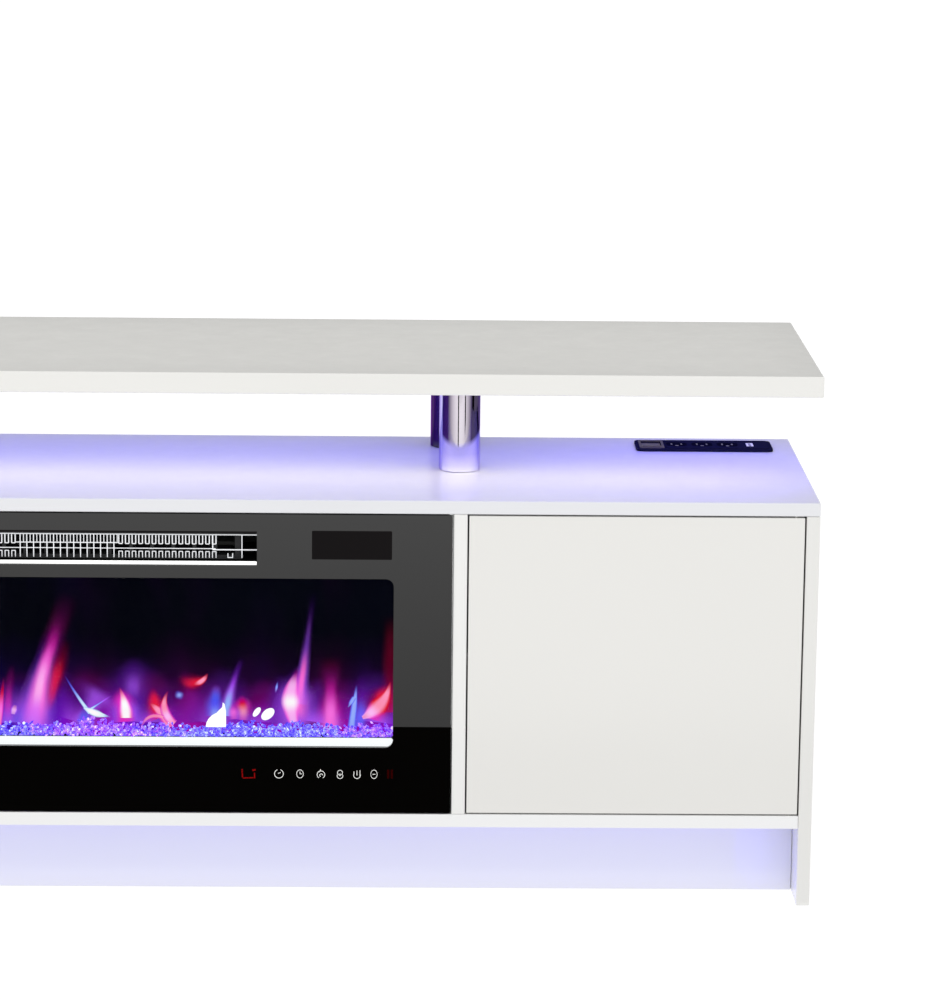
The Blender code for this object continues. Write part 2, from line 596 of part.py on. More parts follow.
def make_flame_works():
    """Screen, turning reflector spindle, its motor and bearing, ember tray and lights."""
    panel("flame_screen", ACRYLIC, (-SCREEN_HALF, SCREEN_HALF), behind_face(SCREEN_BEHIND), SCREEN_Z, 0.0)
    shaft_end = SPINDLE_HALF + SPINDLE_TAIL
    profile = [(0.0, shaft_end), (SHAFT_RADIUS, shaft_end), (SHAFT_RADIUS, -shaft_end), (0.0, -shaft_end)]
    spindle = turned("flame_spindle", FOIL, profile, (0.0, *SPINDLE_AXIS), "X", steps=SMALL_ROUND,
                     closed=False)
    first = -SPINDLE_HALF + FIN_INSET
    pitch = -2 * first / (SPINDLE_FINS - 1)
    turn = radians(GOLDEN_ANGLE)
    fins = [((first + pitch * index, *SPINDLE_AXIS), SPINDLE_FIN, turn * index)
            for index in range(SPINDLE_FINS)]
    combine(spindle, boxes("spindle_fins", fins), "UNION")

    motor_x = SPINDLE_HALF + MOTOR_CLEAR
    radius, length, bore = SPINDLE_MOTOR
    hole = SHAFT_RADIUS + GAP
    motor = rods("spindle_motor", [(motor_x + length / 2, *SPINDLE_AXIS)], radius, length, "X", STEEL_BARE,
                 FINE_ROUND)
    combine(motor, rods("spindle_motor_bore", [(motor_x, *SPINDLE_AXIS)], hole, bore, "X",
                        segments=SMALL_ROUND))
    axis_y, axis_z = SPINDLE_AXIS
    bearing = panel("spindle_bearing", NYLON, (-motor_x - BEARING_THICK, -motor_x),
                    (axis_y - BEARING_HALF, axis_y + BEARING_HALF),
                    (axis_z - BEARING_FOOT, axis_z + BEARING_HALF), 0.001)
    combine(bearing, rods("bearing_bore", [(-motor_x, *SPINDLE_AXIS)], hole, CUT_THROUGH, "X",
                          segments=SMALL_ROUND))

    bar_z = (WINDOW_Z[0], WINDOW_Z[0] + LIGHT_BAR_HEIGHT)
    tray("ember_tray", STEEL_BLACK, (-TRAY_HALF, TRAY_HALF), behind_face(TRAY_BEHIND),
         (TRAY_FLOOR, bar_z[1]), (0, 0, 1), TRAY_WALL)
    panel("ember_light_bar", LIGHT_BAR, (-WINDOW_HALF, WINDOW_HALF), behind_face(LIGHT_BAR_BEHIND), bar_z)
    panel("flame_light_board", BOARD_GREEN, *FLAME_LIGHT, 0.0)


def make_electronics():
    for name, mat, (x, reach, z) in (("touch_board", BOARD_GREEN, TOUCH_BOARD),
                                     ("display_module", DISPLAY, DISPLAY_BOX)):
        panel(name, mat, x, behind_face(reach), z, 0.0)
    board = panel("control_board", BOARD_GREEN, *CONTROL_BOARD, 0.0)
    combine(board, boxes("board_components", CONTROL_PARTS), "UNION")


make_upper_tier()
make_carcass()
make_doors()
make_latches()
make_lights()
make_power_strip()
make_front_glass()
make_housing()
make_heater()
make_blower()
make_flame_works()
make_electronics()
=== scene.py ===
import random
from math import cos, pi, radians, sin

import bmesh
import bpy
from mathutils import Matrix, Vector


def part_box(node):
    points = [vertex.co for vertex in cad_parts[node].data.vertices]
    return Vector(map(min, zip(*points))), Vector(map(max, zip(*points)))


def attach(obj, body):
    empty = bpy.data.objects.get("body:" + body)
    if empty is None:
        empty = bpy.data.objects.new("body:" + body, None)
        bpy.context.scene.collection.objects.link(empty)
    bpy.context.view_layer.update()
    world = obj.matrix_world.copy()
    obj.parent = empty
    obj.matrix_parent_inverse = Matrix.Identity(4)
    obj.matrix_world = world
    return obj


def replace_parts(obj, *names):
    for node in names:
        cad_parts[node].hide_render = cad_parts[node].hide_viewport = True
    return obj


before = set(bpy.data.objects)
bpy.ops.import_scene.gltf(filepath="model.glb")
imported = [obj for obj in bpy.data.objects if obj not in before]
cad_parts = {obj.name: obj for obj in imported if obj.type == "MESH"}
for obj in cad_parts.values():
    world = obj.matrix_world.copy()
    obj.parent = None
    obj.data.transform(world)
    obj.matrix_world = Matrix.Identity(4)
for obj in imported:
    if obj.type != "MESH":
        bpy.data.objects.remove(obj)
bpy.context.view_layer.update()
scene = bpy.context.scene
scene.view_settings.view_transform = "Standard"


# ---------------------------------------------------------------- camera and studio
# The camera stands well back, a little right of the cabinet's middle and above its top. The studio
# is a white sweep that lights the front more than the top and the back, with a white floor.

EYE = (0.3924, -4.6354, 1.4263)
TURN, TILT, ROLL = radians(-1.080), radians(11.839), radians(0.607)

camera_data = bpy.data.cameras.new("camera")
camera_data.sensor_width = 36.0
camera_data.lens = 138.785
camera = bpy.data.objects.new("camera", camera_data)
aim = Matrix.Rotation(TURN, 4, "Z") @ Matrix.Rotation(pi / 2 - TILT, 4, "X") @ Matrix.Rotation(ROLL, 4, "Z")
camera.location = EYE
camera.rotation_euler = aim.to_euler()
scene.collection.objects.link(camera)
scene.camera = camera


def add(tree, kind, inputs=None, **settings):
    """Add a shader node with its settings and the values of its unlinked sockets."""
    made = tree.nodes.new(kind)
    for key, value in settings.items():
        setattr(made, key, value)
    for key, value in (inputs or {}).items():
        made.inputs[key].default_value = value
    return made


def wire(tree, start, end):
    """Join an output to an input."""
    tree.links.new(start, end)


def new_material(name, **values):
    """A material with the given values on its Principled BSDF. Underscores stand for spaces."""
    mat = bpy.data.materials.new(name)
    mat.use_nodes = True
    shader = mat.node_tree.nodes["Principled BSDF"]
    for key, value in values.items():
        socket = shader.inputs[key.replace("_", " ")]
        socket.default_value = (*value, 1.0) if isinstance(value, tuple) else value
    return mat, mat.node_tree, shader


def ramp(tree, factor, stops, interpolation="LINEAR"):
    """A colour ramp fed by a factor. Stops are (position, colour), the colour as 3 numbers or one."""
    made = tree.nodes.new("ShaderNodeValToRGB")
    made.color_ramp.interpolation = interpolation
    elements = made.color_ramp.elements
    while len(elements) < len(stops):
        elements.new(0.5)
    for element, (place, colour) in zip(elements, stops):
        element.position = place
        rgb = colour if isinstance(colour, tuple) else (colour, colour, colour)
        element.color = (*rgb, 1.0)
    wire(tree, factor, made.inputs["Fac"])
    return made.outputs["Color"]


def split(tree, vector):
    """The X, Y and Z outputs of a vector."""
    made = add(tree, "ShaderNodeSeparateXYZ")
    wire(tree, vector, made.inputs[0])
    return made.outputs


def spread(tree, value, low, high, start=0.0, end=1.0):
    """A value that runs from start to end, brought to run from low to high."""
    reach = {"From Min": start, "From Max": end, "To Min": low, "To Max": high}
    made = add(tree, "ShaderNodeMapRange", reach)
    wire(tree, value, made.inputs["Value"])
    return made.outputs[0]


def calc(tree, operation, first, second):
    """A sum on two values, each a socket or a number."""
    made = add(tree, "ShaderNodeMath", operation=operation)
    for socket, value in zip(made.inputs, (first, second)):
        if isinstance(value, (int, float)):
            socket.default_value = value
        else:
            wire(tree, value, socket)
    return made.outputs[0]


def studio_world():
    """A white sky for the camera, which lights brighter from above and from the front."""
    world = bpy.data.worlds.new("studio")
    scene.world = world
    world.use_nodes = True
    tree = world.node_tree
    tree.nodes.clear()
    direction = split(tree, add(tree, "ShaderNodeTexCoord").outputs["Generated"])
    height = ramp(tree, direction["Z"], [(0.0, 0.79), (0.9, 1.42)])
    depth = spread(tree, direction["Y"], 1.05, 0.33, -0.6, 0.9)
    seen = add(tree, "ShaderNodeMix", data_type="FLOAT")
    wire(tree, add(tree, "ShaderNodeLightPath").outputs["Is Camera Ray"], seen.inputs["Factor"])
    wire(tree, calc(tree, "MULTIPLY", height, depth), seen.inputs[2])
    seen.inputs[3].default_value = 1.0
    sky = add(tree, "ShaderNodeBackground", {"Color": (1.0, 1.0, 1.0, 1.0)})
    wire(tree, seen.outputs[0], sky.inputs["Strength"])
    wire(tree, sky.outputs[0], add(tree, "ShaderNodeOutputWorld").inputs["Surface"])


studio_world()


def here(tree):
    """Object coordinates."""
    return add(tree, "ShaderNodeTexCoord").outputs["Object"]


def stage_card(name, x, y, z, glow, glow_stops=None, gloss_only=True, base=0.0):
    """A flat studio card: level where z is one height, upright where y is one depth."""
    level = isinstance(z, float)
    tall = (y[1] - y[0]) if level else (z[1] - z[0])
    centre = ((x[0] + x[1]) / 2, (y[0] + y[1]) / 2 if level else y, z if level else (z[0] + z[1]) / 2)
    stand = Matrix.Identity(4) if level else Matrix.Rotation(pi / 2, 4, "X")
    place = Matrix.Translation(centre) @ stand @ Matrix.Diagonal((x[1] - x[0], tall, 1.0, 1.0))
    bm = bmesh.new()
    bmesh.ops.create_grid(bm, x_segments=1, y_segments=1, size=0.5, matrix=place)
    mesh = bpy.data.meshes.new(name)
    bm.to_mesh(mesh)
    bm.free()
    card = bpy.data.objects.new(name, mesh)
    scene.collection.objects.link(card)
    mat, tree, shader = new_material(name, Base_Color=(base, base, base), Roughness=0.9,
                                     Specular_IOR_Level=0.0, Emission_Strength=glow,
                                     Emission_Color=(1.0, 1.0, 1.0))
    if glow_stops:
        along = spread(tree, split(tree, here(tree))["Y"], 0.0, 1.0, *y)
        wire(tree, ramp(tree, along, glow_stops), shader.inputs["Emission Color"])
    mesh.materials.append(mat)
    if gloss_only:
        card.visible_camera = False
        card.visible_diffuse = False
        card.visible_shadow = False
        card.visible_transmission = False
    return card


stage_card("floor", (-14.0, 14.0), (-12.0, 16.0), -0.0004, 0.95, gloss_only=False, base=0.13)
stage_card("near_floor_in_gloss", (-6.0, 6.0), (-1.005, -0.21), 0.0008, 0.0)
stage_card("far_floor_in_gloss", (-6.0, 6.0), (-3.2, -1.0055), 0.0004, 1.5,
           [(0.0, 1.0), (0.4, 0.85), (1.0, 0.60)])
for name, centre_x, half in (("flag_near", 0.285, 0.060), ("flag_far", 1.147, 0.085)):
    stage_card(name, (centre_x - half, centre_x + half), -1.2, (0.29, 0.42), 0.0)


# ---------------------------------------------------------------- lacquered boards
# The boards are fibreboard under white high-gloss lacquer, joined with cam fittings. The lacquer has
# a faint orange peel, a slight change of tone from board to board, and a little handling haze.

BOARDS = {
    "top_board": (0.800, 0.794, 0.765), "cabinet_top": (0.750, 0.756, 0.780),
    "side_panel_left": (0.762, 0.758, 0.734), "side_panel_right": (0.762, 0.758, 0.734),
    "divider_left": (0.815, 0.813, 0.796), "divider_right": (0.815, 0.813, 0.796),
    "bottom_panel": (0.850, 0.852, 0.850), "shelf_left": (0.800, 0.798, 0.780),
    "shelf_right": (0.800, 0.798, 0.780), "back_rail": (0.800, 0.798, 0.780),
    "plinth_front": (0.755, 0.757, 0.765), "plinth_rear": (0.800, 0.798, 0.780),
    "door_left": (0.764, 0.756, 0.728), "door_right": (0.764, 0.756, 0.728),
}


def new_group(name, inputs, outputs):
    """An empty shader node group with its sockets: inputs are (name, kind, value), outputs (name, kind)."""
    group = bpy.data.node_groups.new(name, "ShaderNodeTree")
    for label, kind, value in inputs:
        socket = group.interface.new_socket(name=label, in_out="INPUT", socket_type=kind)
        if value is not None:
            socket.default_value = value
    for label, kind in outputs:
        group.interface.new_socket(name=label, in_out="OUTPUT", socket_type=kind)
    return group, group.nodes.new("NodeGroupInput"), group.nodes.new("NodeGroupOutput")


def noise(tree, vector, scale, detail=2.0, rough=0.5, stretch=None):
    """Noise on a vector, after stretching the vector along its axes where asked."""
    if stretch:
        mapping = add(tree, "ShaderNodeMapping", {"Scale": stretch})
        wire(tree, vector, mapping.inputs["Vector"])
        vector = mapping.outputs[0]
    made = add(tree, "ShaderNodeTexNoise", {"Scale": scale, "Detail": detail, "Roughness": rough})
    wire(tree, vector, made.inputs["Vector"])
    return made.outputs["Fac"]


def mix_colour(tree, factor, first, second, blend="MIX"):
    """Two colours blended by a factor. Each is a socket, or else 3 numbers or a number."""
    made = add(tree, "ShaderNodeMix", data_type="RGBA", blend_type=blend)
    for socket, value in ((made.inputs["Factor"], factor), (made.inputs[6], first), (made.inputs[7], second)):
        if isinstance(value, bpy.types.NodeSocket):
            wire(tree, value, socket)
        else:
            socket.default_value = (*value, 1.0) if isinstance(value, tuple) else value
    return made.outputs[2]


def surface_group():
    """Cloudy tone, rubbed roughness and fine relief that every hard finish here uses."""
    group, inner, outer = new_group(
        "surface", [("Vector", "NodeSocketVector", None), ("Cloud Scale", "NodeSocketFloat", 3.0),
                    ("Tone Spread", "NodeSocketFloat", 0.03), ("Rough Low", "NodeSocketFloat", 0.15),
                    ("Rough High", "NodeSocketFloat", 0.25), ("Grain Scale", "NodeSocketFloat", 300.0)],
        [("Tone", "NodeSocketFloat"), ("Roughness", "NodeSocketFloat"), ("Height", "NodeSocketFloat")])
    vector = inner.outputs["Vector"]
    cloud = add(group, "ShaderNodeTexNoise", {"Detail": 3.0})
    wire(group, vector, cloud.inputs["Vector"])
    wire(group, inner.outputs["Cloud Scale"], cloud.inputs["Scale"])
    tone = calc(group, "MULTIPLY", cloud.outputs["Fac"], inner.outputs["Tone Spread"])
    tone = calc(group, "SUBTRACT", 1.0, tone)
    rubbed = noise(group, vector, 26.0, 4.0, 0.7, (1.0, 1.0, 0.25))
    rough = add(group, "ShaderNodeMapRange", {"From Min": 0.3, "From Max": 0.7})
    wire(group, rubbed, rough.inputs["Value"])
    wire(group, inner.outputs["Rough Low"], rough.inputs["To Min"])
    wire(group, inner.outputs["Rough High"], rough.inputs["To Max"])
    grain = add(group, "ShaderNodeTexNoise", {"Detail": 2.0})
    wire(group, vector, grain.inputs["Vector"])
    wire(group, inner.outputs["Grain Scale"], grain.inputs["Scale"])
    wire(group, tone, outer.inputs["Tone"])
    wire(group, rough.outputs[0], outer.inputs["Roughness"])
    wire(group, grain.outputs["Fac"], outer.inputs["Height"])
    return group


SURFACE = surface_group()


def finish(name, colour, rough=(0.2, 0.3), metallic=0.0, cloud=3.0, tone=0.03, grain=300.0, relief=0.1,
           depth=0.0001, seed=0.0, **shader_values):
    """A hard finish: a base colour that drifts a little, uneven roughness and fine relief."""
    mat, tree, shader = new_material(name, Metallic=metallic, **shader_values)
    place = add(tree, "ShaderNodeMapping", {"Location": (seed, seed * 0.7, seed * 1.3)})
    wire(tree, here(tree), place.inputs["Vector"])
    surface = tree.nodes.new("ShaderNodeGroup")
    surface.node_tree = SURFACE
    for key, value in (("Cloud Scale", cloud), ("Tone Spread", tone), ("Rough Low", rough[0]),
                       ("Rough High", rough[1]), ("Grain Scale", grain)):
        surface.inputs[key].default_value = value
    wire(tree, place.outputs[0], surface.inputs["Vector"])
    drifting = mix_colour(tree, 1.0, colour, surface.outputs["Tone"], "MULTIPLY")
    wire(tree, drifting, shader.inputs["Base Color"])
    wire(tree, surface.outputs["Roughness"], shader.inputs["Roughness"])
    bump = add(tree, "ShaderNodeBump", {"Strength": relief, "Distance": depth})
    wire(tree, surface.outputs["Height"], bump.inputs["Height"])
    wire(tree, bump.outputs[0], shader.inputs["Normal"])
    return mat


def dress(node, mat):
    """Give a CAD node its finish."""
    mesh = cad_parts[node].data
    mesh.materials.clear()
    mesh.materials.append(mat)


for number, (board, white) in enumerate(BOARDS.items()):
    dress(board, finish(f"{board}_lacquer", white, rough=(0.14, 0.22), cloud=1.6, tone=0.025, grain=260.0,
                        relief=0.05, seed=number * 3.1))


# ---------------------------------------------------------------- hardboard backs
# Three-millimetre hardboard, white on one face, closes the back of each door compartment. It has a
# fibrous matt face and a round hole for cables with a plastic grommet pressed in.

for number, end in enumerate(("left", "right")):
    dress(f"back_panel_{end}", finish(f"hardboard_{end}", (0.66, 0.65, 0.62), rough=(0.55, 0.75), cloud=7.0,
                                      tone=0.10, grain=420.0, relief=0.3, seed=number * 5.0))

GROMMET_BORE, GROMMET_RIM, GROMMET_THICK, GROMMET_WALL, GROMMET_DEEP = 0.0275, 0.0335, 0.0022, 0.002, 0.004
GROMMET_X, GROMMET_Z, LIFT = 0.60, 0.20, 0.0002


def put(bm, name, mat, body="cabinet", smooth=True, angle=35.0):
    """Turn a bmesh into a piece with its finish, riding on a body."""
    mesh = bpy.data.meshes.new(name)
    bm.to_mesh(mesh)
    bm.free()
    if smooth:
        mesh.shade_smooth()
        mesh.set_sharp_from_angle(angle=radians(angle))
    mesh.materials.append(mat)
    piece = bpy.data.objects.new(name, mesh)
    scene.collection.objects.link(piece)
    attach(piece, body)
    return piece


def lathe(bm, profile, place, axis="Z", steps=32):
    """Turn a closed (radius, height) outline about an axis through place. Tags mark placed vertices."""
    rim = [bm.verts.new((radius, 0.0, height)) for radius, height in profile]
    edges = [bm.edges.new((rim[index - 1], rim[index])) for index in range(len(rim))]
    bmesh.ops.spin(bm, geom=rim + edges, axis=(0, 0, 1), cent=(0, 0, 0), angle=2 * pi, steps=steps,
                   use_merge=True)
    whole = [vert for vert in bm.verts if not vert.tag]
    turn = {"X": Matrix.Rotation(pi / 2, 4, "Y"), "Y": Matrix.Rotation(-pi / 2, 4, "X"),
            "Z": Matrix.Identity(4)}[axis]
    bmesh.ops.transform(bm, matrix=Matrix.Translation(place) @ turn, verts=whole)
    for vert in whole:
        vert.tag = True


def closed(bm):
    """Weld a bmesh and turn its faces outwards."""
    bmesh.ops.remove_doubles(bm, verts=bm.verts, dist=0.00001)
    bmesh.ops.recalc_face_normals(bm, faces=bm.faces)
    return bm


black_plastic = finish("black_plastic", (0.024, 0.024, 0.026), rough=(0.38, 0.55), grain=900.0, relief=0.25,
                       tone=0.2)
bm = bmesh.new()
outline = [(GROMMET_BORE, -GROMMET_DEEP), (GROMMET_BORE + GROMMET_WALL, -GROMMET_DEEP),
           (GROMMET_BORE + GROMMET_WALL, LIFT), (GROMMET_RIM, LIFT), (GROMMET_RIM, GROMMET_THICK * 0.6),
           (GROMMET_RIM - 0.0012, GROMMET_THICK), (GROMMET_BORE + 0.0008, GROMMET_THICK),
           (GROMMET_BORE, GROMMET_THICK * 0.6)]
for end, side in (("left", -1), ("right", 1)):
    lathe(bm, outline, (side * GROMMET_X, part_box(f"back_panel_{end}")[1][1], GROMMET_Z), "Y", 48)
put(closed(bm), "cable_grommets", black_plastic)


# ---------------------------------------------------------------- chrome posts
# Four polished chrome tubes carry the floating board, each clamped by a threaded rod inside it. They
# are turned here again with a fine curve so that the polish shows no flats.

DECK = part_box("cabinet_top")[1][2]


# Painted reflection on the posts: the lit deck's tones near the foot, a painted edge highlight and painted
# grey shade.
PAINTED_REFLECTION_FADE, PAINTED_REFLECTION_STOPS = 0.055, (0.0, 0.14, 0.40, 0.80)
PAINTED_REFLECTION_TONES = ((1.0, 0.98, 1.0), (0.74, 0.70, 0.96), (0.48, 0.44, 0.82), (0.40, 0.36, 0.76))
PAINTED_EDGE_LIGHT, PAINTED_EDGE_GLINT, PAINTED_SHADE_GREY = (0.50, 0.46, 0.85), (0.62, 0.58, 0.95), (0.070, 0.056, 0.095)


def dimmed(colour, share):
    """A colour at a share of its strength."""
    return tuple(value * share for value in colour)


def chrome_material(name, foot_height, slope, painted_edge_glow, painted_foot_glow, painted_dark_from, edge_tint):
    """Polished chrome with a painted reflection in its colour: violet shade at its sides, grey shade on its
    right, a highlight on its left edge and the lit deck's tones near its foot.
    """
    mat = finish(name, (0.70, 0.70, 0.72), rough=(0.03, 0.07), metallic=1.0, cloud=9.0, tone=0.06,
                 grain=600.0, relief=0.02, Specular_Tint=edge_tint)
    tree = mat.node_tree
    facing = add(tree, "ShaderNodeLayerWeight", {"Blend": 0.5}).outputs["Facing"]
    across = split(tree, add(tree, "ShaderNodeNewGeometry").outputs["Normal"])["X"]
    height = split(tree, here(tree))["Z"]
    # Painted reflection across the post: light down its middle, painted violet shade towards its sides and a
    # painted highlight at the very edge.
    sides = ramp(tree, facing,
                 [(0.0, (0.60, 0.56, 0.61)), (painted_dark_from * 0.5, (0.40, 0.36, 0.42)),
                  (painted_dark_from * 0.85, (0.22, 0.19, 0.26)), (painted_dark_from + 0.03, (0.042, 0.014, 0.11)),
                  (0.84, (0.036, 0.010, 0.10)), (0.90, dimmed(PAINTED_EDGE_LIGHT, painted_edge_glow))])
    # Painted grey shade over the violet of the right side.
    inner = calc(tree, "MULTIPLY", ramp(tree, facing, [(painted_dark_from, 0.0), (painted_dark_from + 0.05, 1.0)]),
                 calc(tree, "GREATER_THAN", across, 0.0))
    sides = mix_colour(tree, inner, sides, PAINTED_SHADE_GREY)
    # The lit deck's colour painted near the foot as its reflection, with painted highlight streaks towards
    # the edges.
    painted_tones = [dimmed(tone, painted_foot_glow) for tone in PAINTED_REFLECTION_TONES]
    foot = ramp(tree, spread(tree, height, 0.0, 1.0, DECK, DECK + PAINTED_REFLECTION_FADE), list(zip(PAINTED_REFLECTION_STOPS, painted_tones)))
    foot = mix_colour(tree, ramp(tree, facing, [(0.58, 0.0), (0.76, 1.0)]), foot, painted_tones[0])
    painted_foot_edge = calc(tree, "ADD", calc(tree, "MULTIPLY", facing, slope), DECK + foot_height)
    upper = spread(tree, calc(tree, "SUBTRACT", height, painted_foot_edge), 0.0, 1.0, -0.004, 0.004)
    # Painted highlight down the left edge.
    outer = calc(tree, "MULTIPLY", ramp(tree, facing, [(0.45, 0.0), (0.52, 1.0)]),
                 calc(tree, "LESS_THAN", across, 0.0))
    painted_reflection = mix_colour(tree, outer, mix_colour(tree, upper, foot, sides), dimmed(PAINTED_EDGE_GLINT, painted_edge_glow))
    wire(tree, painted_reflection, tree.nodes["Principled BSDF"].inputs["Base Color"])
    return mat


# The rear posts take the same painted reflection, held dark and violet.
CHROME = {"front": chrome_material("chrome_front", 0.033, 0.021, 1.0, 1.0, 0.17, (0.50, 0.42, 0.80)),
          "rear": chrome_material("chrome_rear", 0.006, 0.0, 0.1, 0.12, 0.04, (0.55, 0.30, 0.80))}
POST_EASE, POST_WALL = 0.0006, 0.002
for row in ("front", "rear"):
    for end in ("left", "right"):
        node = f"post_{row}_{end}"
        low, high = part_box(node)
        radius = (high[0] - low[0]) / 2
        centre = ((low[0] + high[0]) / 2, (low[1] + high[1]) / 2, low[2])
        tall = high[2] - low[2]
        bore = radius - POST_WALL
        outline = [(radius - POST_EASE, tall), (radius, tall - POST_EASE), (radius, POST_EASE),
                   (radius - POST_EASE, 0.0), (bore, 0.0), (bore, tall)]
        bm = bmesh.new()
        lathe(bm, outline, centre, "Z", 96)
        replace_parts(put(closed(bm), f"{node}_tube", CHROME[row]), node)


# ---------------------------------------------------------------- doors, pivots and latches
# The doors turn on plated pins in nylon bushes near their outer front edges. A push latch under the
# cabinet top holds each door, and a clear bumper dot softens its closing.

nylon = finish("white_nylon", (0.74, 0.74, 0.71), rough=(0.4, 0.55), grain=500.0, relief=0.15, tone=0.05)
plated = finish("plated_steel", (0.60, 0.60, 0.58), rough=(0.22, 0.36), metallic=1.0, grain=800.0, tone=0.12)
grey_plastic = finish("grey_plastic", (0.36, 0.36, 0.37), rough=(0.4, 0.55), grain=900.0, relief=0.25,
                      tone=0.06)
for end in ("left", "right"):
    for level in ("upper", "lower"):
        dress(f"pivot_pin_{level}_{end}", plated)
        dress(f"pivot_bush_{level}_{end}", nylon)
    dress(f"push_latch_{end}", grey_plastic)
    dress(f"latch_plunger_{end}", nylon)
dress("led_controller", grey_plastic)

rubber = finish("bumper_rubber", (0.55, 0.55, 0.56), rough=(0.3, 0.45), grain=300.0)
BUMPER_RADIUS, BUMPER_THICK, BUMPER_INSET, BUMPER_FOOT, BUMPER_HEAD = 0.004, 0.0014, 0.008, 0.020, 0.040
CENTRE = 0.0001  # a turned outline keeps this radius at its axis
outline = [(CENTRE, 0.0), (BUMPER_RADIUS, 0.0), (BUMPER_RADIUS, BUMPER_THICK * 0.5),
           (BUMPER_RADIUS * 0.6, BUMPER_THICK), (CENTRE, BUMPER_THICK)]
for end in ("left", "right"):
    low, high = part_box(f"door_{end}")
    free_edge = low[0] + BUMPER_INSET if end == "right" else high[0] - BUMPER_INSET
    bm = bmesh.new()
    for level in (low[2] + BUMPER_FOOT, high[2] - BUMPER_HEAD):
        lathe(bm, outline, (free_edge, high[1] + 0.0001, level), "Y", 20)
    put(closed(bm), f"door_bumpers_{end}", rubber, f"door_{end}")


# ---------------------------------------------------------------- shelf pins, cam covers and screws
# Each shelf lies on four plated pins. Push-in plastic caps hide the cam fittings inside, and small
# pan-head screws hold the back sheets and the insert.

SCREW_RADIUS, SCREW_GAP = 0.0032, 0.0001


def screw_heads(name, sheet, across_shares, up_shares):
    """Pan heads with a recess on a sheet's back face, at shares of its width and height, save its middle."""
    outline = [(0.0002, 0.0), (SCREW_RADIUS, 0.0), (SCREW_RADIUS, SCREW_RADIUS * 0.25),
               (SCREW_RADIUS * 0.8, SCREW_RADIUS * 0.5), (SCREW_RADIUS * 0.3, SCREW_RADIUS * 0.6),
               (SCREW_RADIUS * 0.28, SCREW_RADIUS * 0.2), (0.0002, SCREW_RADIUS * 0.2)]
    bm = bmesh.new()
    for low, high in map(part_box, sheet):
        for across in across_shares:
            for up in up_shares:
                if across == up == 0.5:
                    continue
                lathe(bm, outline, (low[0] + across * (high[0] - low[0]), high[1] + SCREW_GAP,
                                    low[2] + up * (high[2] - low[2])), "Y", 16)
    put(closed(bm), name, plated)


screw_heads("back_sheet_screws", ("back_panel_left", "back_panel_right"), (0.02, 0.5, 0.98),
            (0.03, 0.5, 0.97))

PIN_RADIUS, PIN_LONG, PIN_EASE, PIN_INSET = 0.0025, 0.008, 0.0008, 0.045
bm = bmesh.new()
for end in ("left", "right"):
    low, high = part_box(f"shelf_{end}")
    for wall, inward in ((low[0], 1), (high[0], -1)):
        nose, tip = inward * PIN_LONG, inward * (PIN_LONG + PIN_EASE)
        outline = [(CENTRE, 0.0), (PIN_RADIUS, 0.0), (PIN_RADIUS, nose), (PIN_RADIUS * 0.7, tip),
                   (CENTRE, tip)]
        for y in (low[1] + PIN_INSET, high[1] - PIN_INSET):
            lathe(bm, outline, (wall, y, low[2] - PIN_RADIUS - LIFT), "X", 16)
put(closed(bm), "shelf_pins", plated)

CAP_RADIUS, CAP_THICK, CAP_EDGE = 0.0075, 0.0012, 0.0007
CAP_Y, CAP_LOW, CAP_HIGH, CAP_HIGH_LEFT = 0.12, 0.140, 0.425, 0.452
CAP_WALLS = ((0.873, -1), (0.473, 1))
cap_white = finish("cap_white", (0.70, 0.70, 0.68), rough=(0.35, 0.5), grain=700.0)
bm = bmesh.new()
for side in (-1, 1):
    for wall, inward in CAP_WALLS:
        way = side * inward
        outline = [(CENTRE, way * 0.0001), (CAP_RADIUS, way * 0.0001), (CAP_RADIUS, way * CAP_EDGE),
                   (CAP_RADIUS * 0.85, way * CAP_THICK), (CENTRE, way * CAP_THICK)]
        for y in (-CAP_Y, CAP_Y):
            for z in (CAP_LOW, CAP_HIGH_LEFT if inward < 0 and side < 0 else CAP_HIGH):
                lathe(bm, outline, (side * wall, y, z), "X", 24)
put(closed(bm), "cam_covers", cap_white)


# ---------------------------------------------------------------- mood light strips
# Violet LEDs sit in a soft milky silicone strip under the floating board and another under the
# bottom panel in front of the plinth. Each lamp shows as a brighter spot along the strip.

LED_PITCH = 0.0166


def glowing_strip(name, colour, strength):
    """Milky silicone whose glow peaks over each lamp inside."""
    mat = finish(name, (0.75, 0.73, 0.85), rough=(0.3, 0.4), grain=400.0, Emission_Strength=strength)
    tree = mat.node_tree
    wave = calc(tree, "COSINE", calc(tree, "MULTIPLY", split(tree, here(tree))["X"], 2 * pi / LED_PITCH), 0.0)
    bright_glow = tuple(min(1.0, value * 1.3 + 0.25) for value in colour)
    wire(tree, ramp(tree, spread(tree, wave, 0.0, 1.0, -1.0, 1.0), [(0.2, colour), (0.9, bright_glow)]),
         tree.nodes["Principled BSDF"].inputs["Emission Color"])
    return mat


strip_glow = glowing_strip("led_glow", (0.42, 0.34, 1.0), 0.6)
dress("led_strip_upper", strip_glow)
dress("led_strip_lower", strip_glow)


def lamp(name, place, size, colour, power, turn=(0.0, 0.0, 0.0)):
    """A long soft lamp. It shines along its own -Z."""
    data = bpy.data.lights.new(name, "AREA")
    data.shape = "RECTANGLE"
    data.size, data.size_y = size
    data.color = colour
    data.energy = power
    made = bpy.data.objects.new(name, data)
    made.location = place
    made.rotation_euler = turn
    made.visible_glossy = False
    made.visible_camera = False
    scene.collection.objects.link(made)


